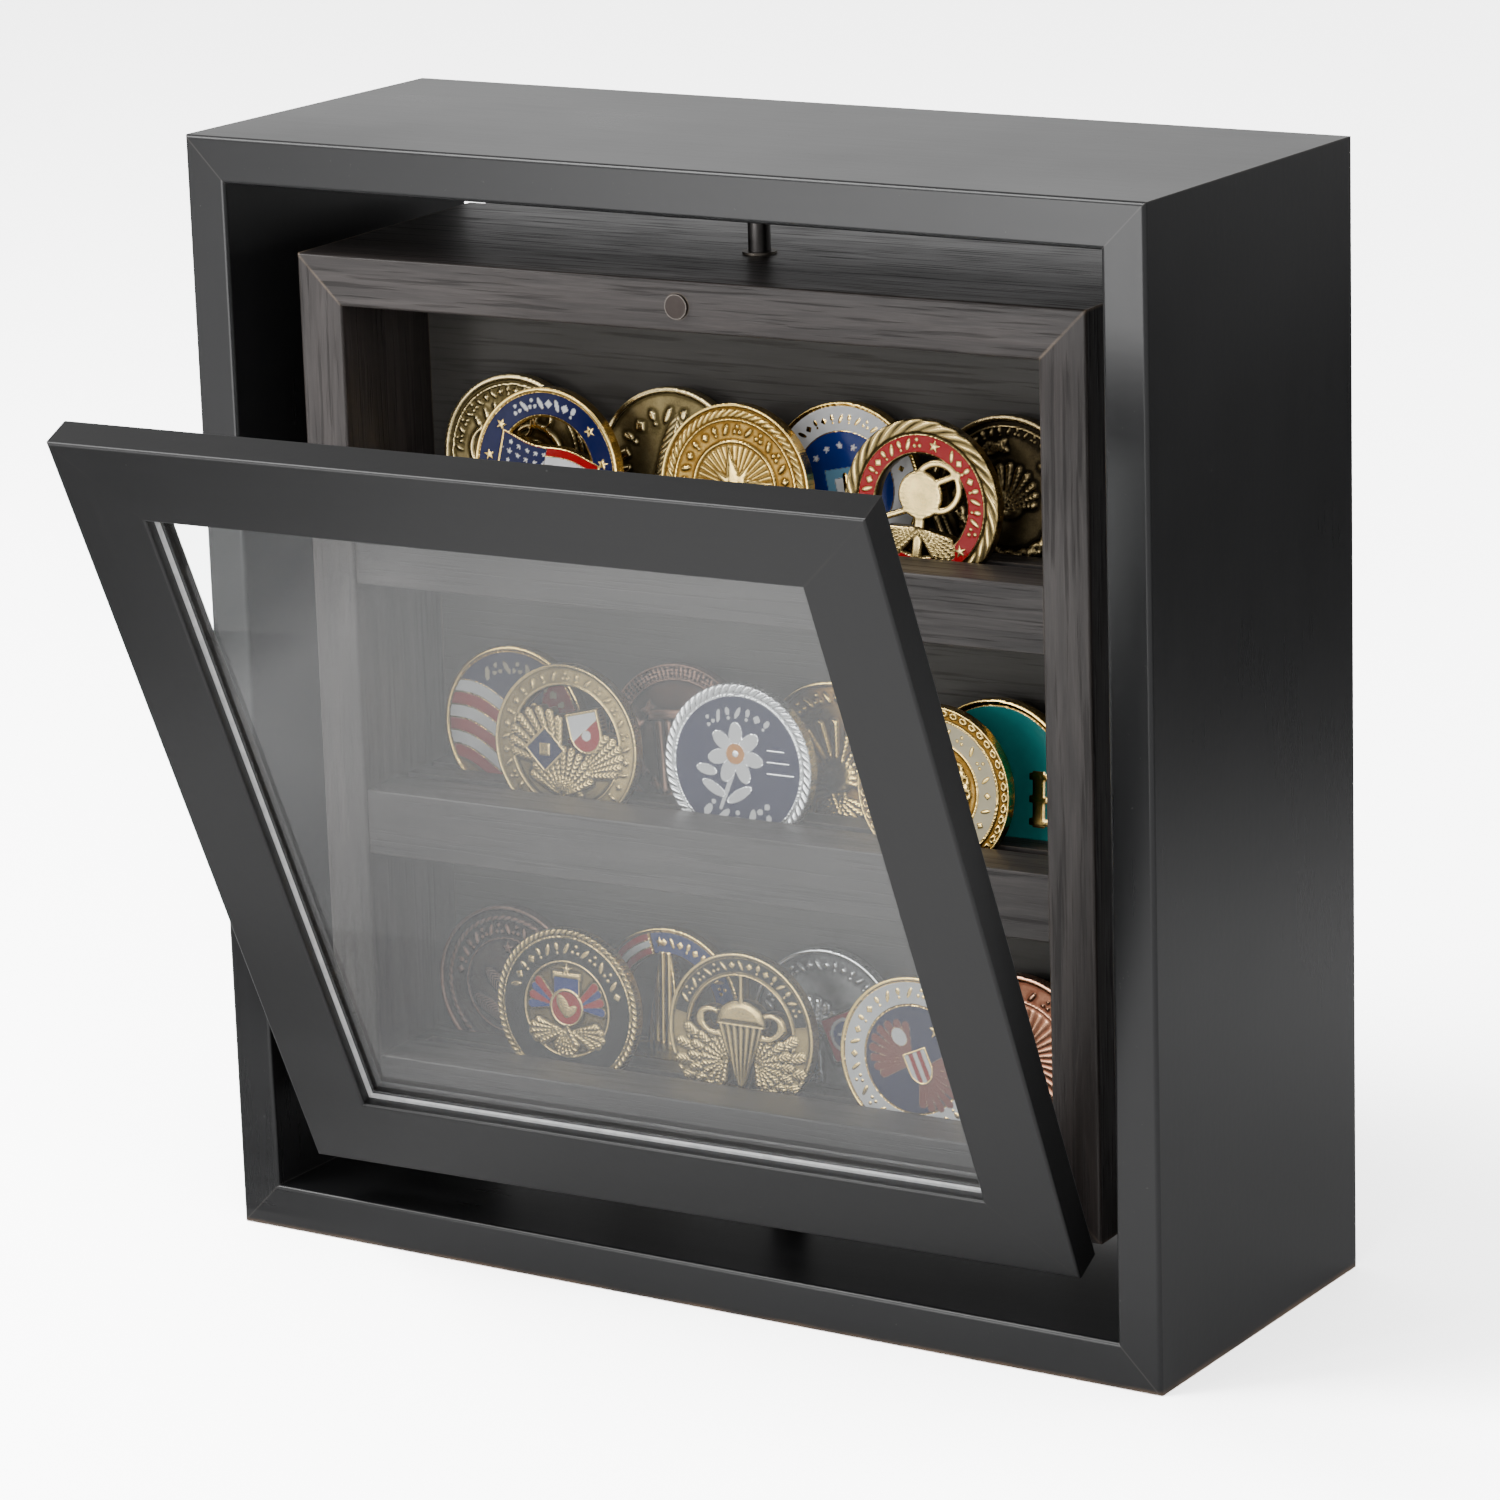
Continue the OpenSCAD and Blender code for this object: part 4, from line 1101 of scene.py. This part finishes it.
def floor():
    me = bpy.data.meshes.new("floor")
    bm = bmesh.new()
    bmesh.ops.create_grid(bm, x_segments=1, y_segments=1, size=12)
    bm.to_mesh(me)
    bm.free()
    o = bpy.data.objects.new("floor", me)
    SCENE.collection.objects.link(o)
    m = Nodes("floor_paper")
    t = m.noise(m.coords(), 40, 4, 0.6)
    col = m.mix(m.spread(t, 0, 1), (0.86, 0.86, 0.865), (0.89, 0.89, 0.895))
    seen = m.add("ShaderNodeLightPath", out="Is Camera Ray")
    col = m.mix(seen, col, (FLOOR_WHITE,) * 3)
    me.materials.append(m.finish(Base_Color=col, Roughness=0.85, Specular_IOR_Level=0.25,
                                 Normal=m.bump(t, 0.2, 0.1)))


def area(name, at, to, size, power):
    """A square light."""
    d = bpy.data.lights.new(name, "AREA")
    d.shape, d.size, d.size_y = "RECTANGLE", size, size
    d.energy = power
    o = bpy.data.objects.new(name, d)
    o.location = at
    o.rotation_mode = "QUATERNION"
    o.rotation_quaternion = (Vector(to) - Vector(at)).to_track_quat("-Z", "Y")
    SCENE.collection.objects.link(o)


def card(name, centre, half, glow, solid=0.3):
    """An oval glowing card that only reflections see, flat in the direction where half is 0: a
    painted reflection, bright with a high glow and painted shade with a low one; diffuse surfaces
    and shadows don't see it.

    It fades out from `solid` of its size to its edge."""
    m = Nodes(name)
    scale = [1 / h if h else 0 for h in half]
    shift = [-c * k for c, k in zip(centre, scale)]
    co = m.add("ShaderNodeTexCoord", out="Object")
    flat = m.add("ShaderNodeMapping", Vector=co, Location=shift, Scale=scale)
    u = m.add("ShaderNodeVectorMath", out="Value", props={"operation": "LENGTH"}, i0=flat)
    clear = m.add("ShaderNodeBsdfTransparent")
    lit = m.add("ShaderNodeEmission", Color=(1, 1, 1, 1), Strength=glow)
    m.close(m.add("ShaderNodeMixShader", i0=m.range(u, solid, 1.0, 1, 0), i1=clear, i2=lit))
    m.mat.cycles.emission_sampling = "NONE"
    me = bpy.data.meshes.new(name)
    corners = ((-1, -1), (1, -1), (1, 1), (-1, 1))
    steps = [(i, 0, j) if half[2] else (i, j, 0) for i, j in corners]
    points = [[c + h * k for c, h, k in zip(centre, half, step)] for step in steps]
    me.from_pydata(points, [], [(0, 1, 2, 3)])
    me.materials.append(m.mat)
    o = bpy.data.objects.new(name, me)
    o.visible_camera = o.visible_diffuse = o.visible_shadow = o.visible_transmission = False
    SCENE.collection.objects.link(o)


def world(low, high):
    """White light all round, of strength `low` near the horizon and `high` overhead."""
    w = bpy.data.worlds.new("studio")
    w.use_nodes = True
    t = w.node_tree
    co = t.nodes.new("ShaderNodeTexCoord")
    split = t.nodes.new("ShaderNodeSeparateXYZ")
    fade = t.nodes.new("ShaderNodeMapRange")
    for k, v in (("From Min", 0.30), ("From Max", 0.75), ("To Min", low), ("To Max", high)):
        fade.inputs[k].default_value = v
    sky = t.nodes["Background"]
    sky.inputs["Color"].default_value = (1, 1, 1, 1)
    t.links.new(co.outputs["Generated"], split.inputs[0])
    t.links.new(split.outputs["Z"], fade.inputs["Value"])
    t.links.new(fade.outputs[0], sky.inputs["Strength"])
    SCENE.world = w


def camera(at, heading, down, roll, lens):
    """A camera at a point, with its heading, downward tilt and roll in degrees."""
    heading, down, roll = (math.radians(a) for a in (heading, down, roll))
    flat = math.cos(down)
    fwd = Vector((-math.sin(heading) * flat, math.cos(heading) * flat, -math.sin(down)))
    right = Vector((math.cos(heading), math.sin(heading), 0))
    up = right.cross(fwd)
    r = math.cos(roll) * right + math.sin(roll) * up
    u = math.cos(roll) * up - math.sin(roll) * right
    d = bpy.data.cameras.new("camera")
    d.sensor_width, d.lens = 36.0, lens
    d.clip_start, d.clip_end = 0.05, 60
    o = bpy.data.objects.new("camera", d)
    o.matrix_world = Matrix.Translation(at) @ Matrix((r, u, -fwd)).transposed().to_4x4()
    SCENE.collection.objects.link(o)
    SCENE.camera = o


floor()
# dark cards that only reflections see: painted shade, darker reflections in the frame's lacquer,
# the door glass and the coins; they block no light
card("dark_reflection_card_right", (0.95, 0.95, CARD_Z), (0.85, 1.05, 0), 0.04, 0.72)
card("dark_reflection_card_left", (-0.295, -0.295, CARD_Z), (0.14, 0.125, 0), 0.03, 0.8)
card("dark_reflection_card_foot", (-0.19, -0.10, CARD_Z), (0.10, 0.08, 0), 0.15)
# bright cards that only reflections see: painted reflections on the lacquer, the door glass and the
# coins
card("card_near", (0.06, -0.26, CARD_Z), (0.30, 0.20, 0), 1.4)
card("card_front", (-0.28, -1.0, 0.12), (0.52, 0, 0.34), 7.5)
world(low=1.0, high=0.35)
area("key", (-0.95, -0.75, 1.65), AIM, 0.9, 32)
area("right_fill", (1.3, -1.2, 1.3), AIM, 0.9, 6)
area("glint_left", (-0.50, -1.35, 0.42), COIN_AIM, 0.16, 2.6)
area("glint_right", (0.40, -1.4, 0.62), COIN_AIM, 0.14, 1.2)
camera((0.81275, -1.27228, 0.53796), heading=32.8254, down=14.7793, roll=-1.8271, lens=140.17)
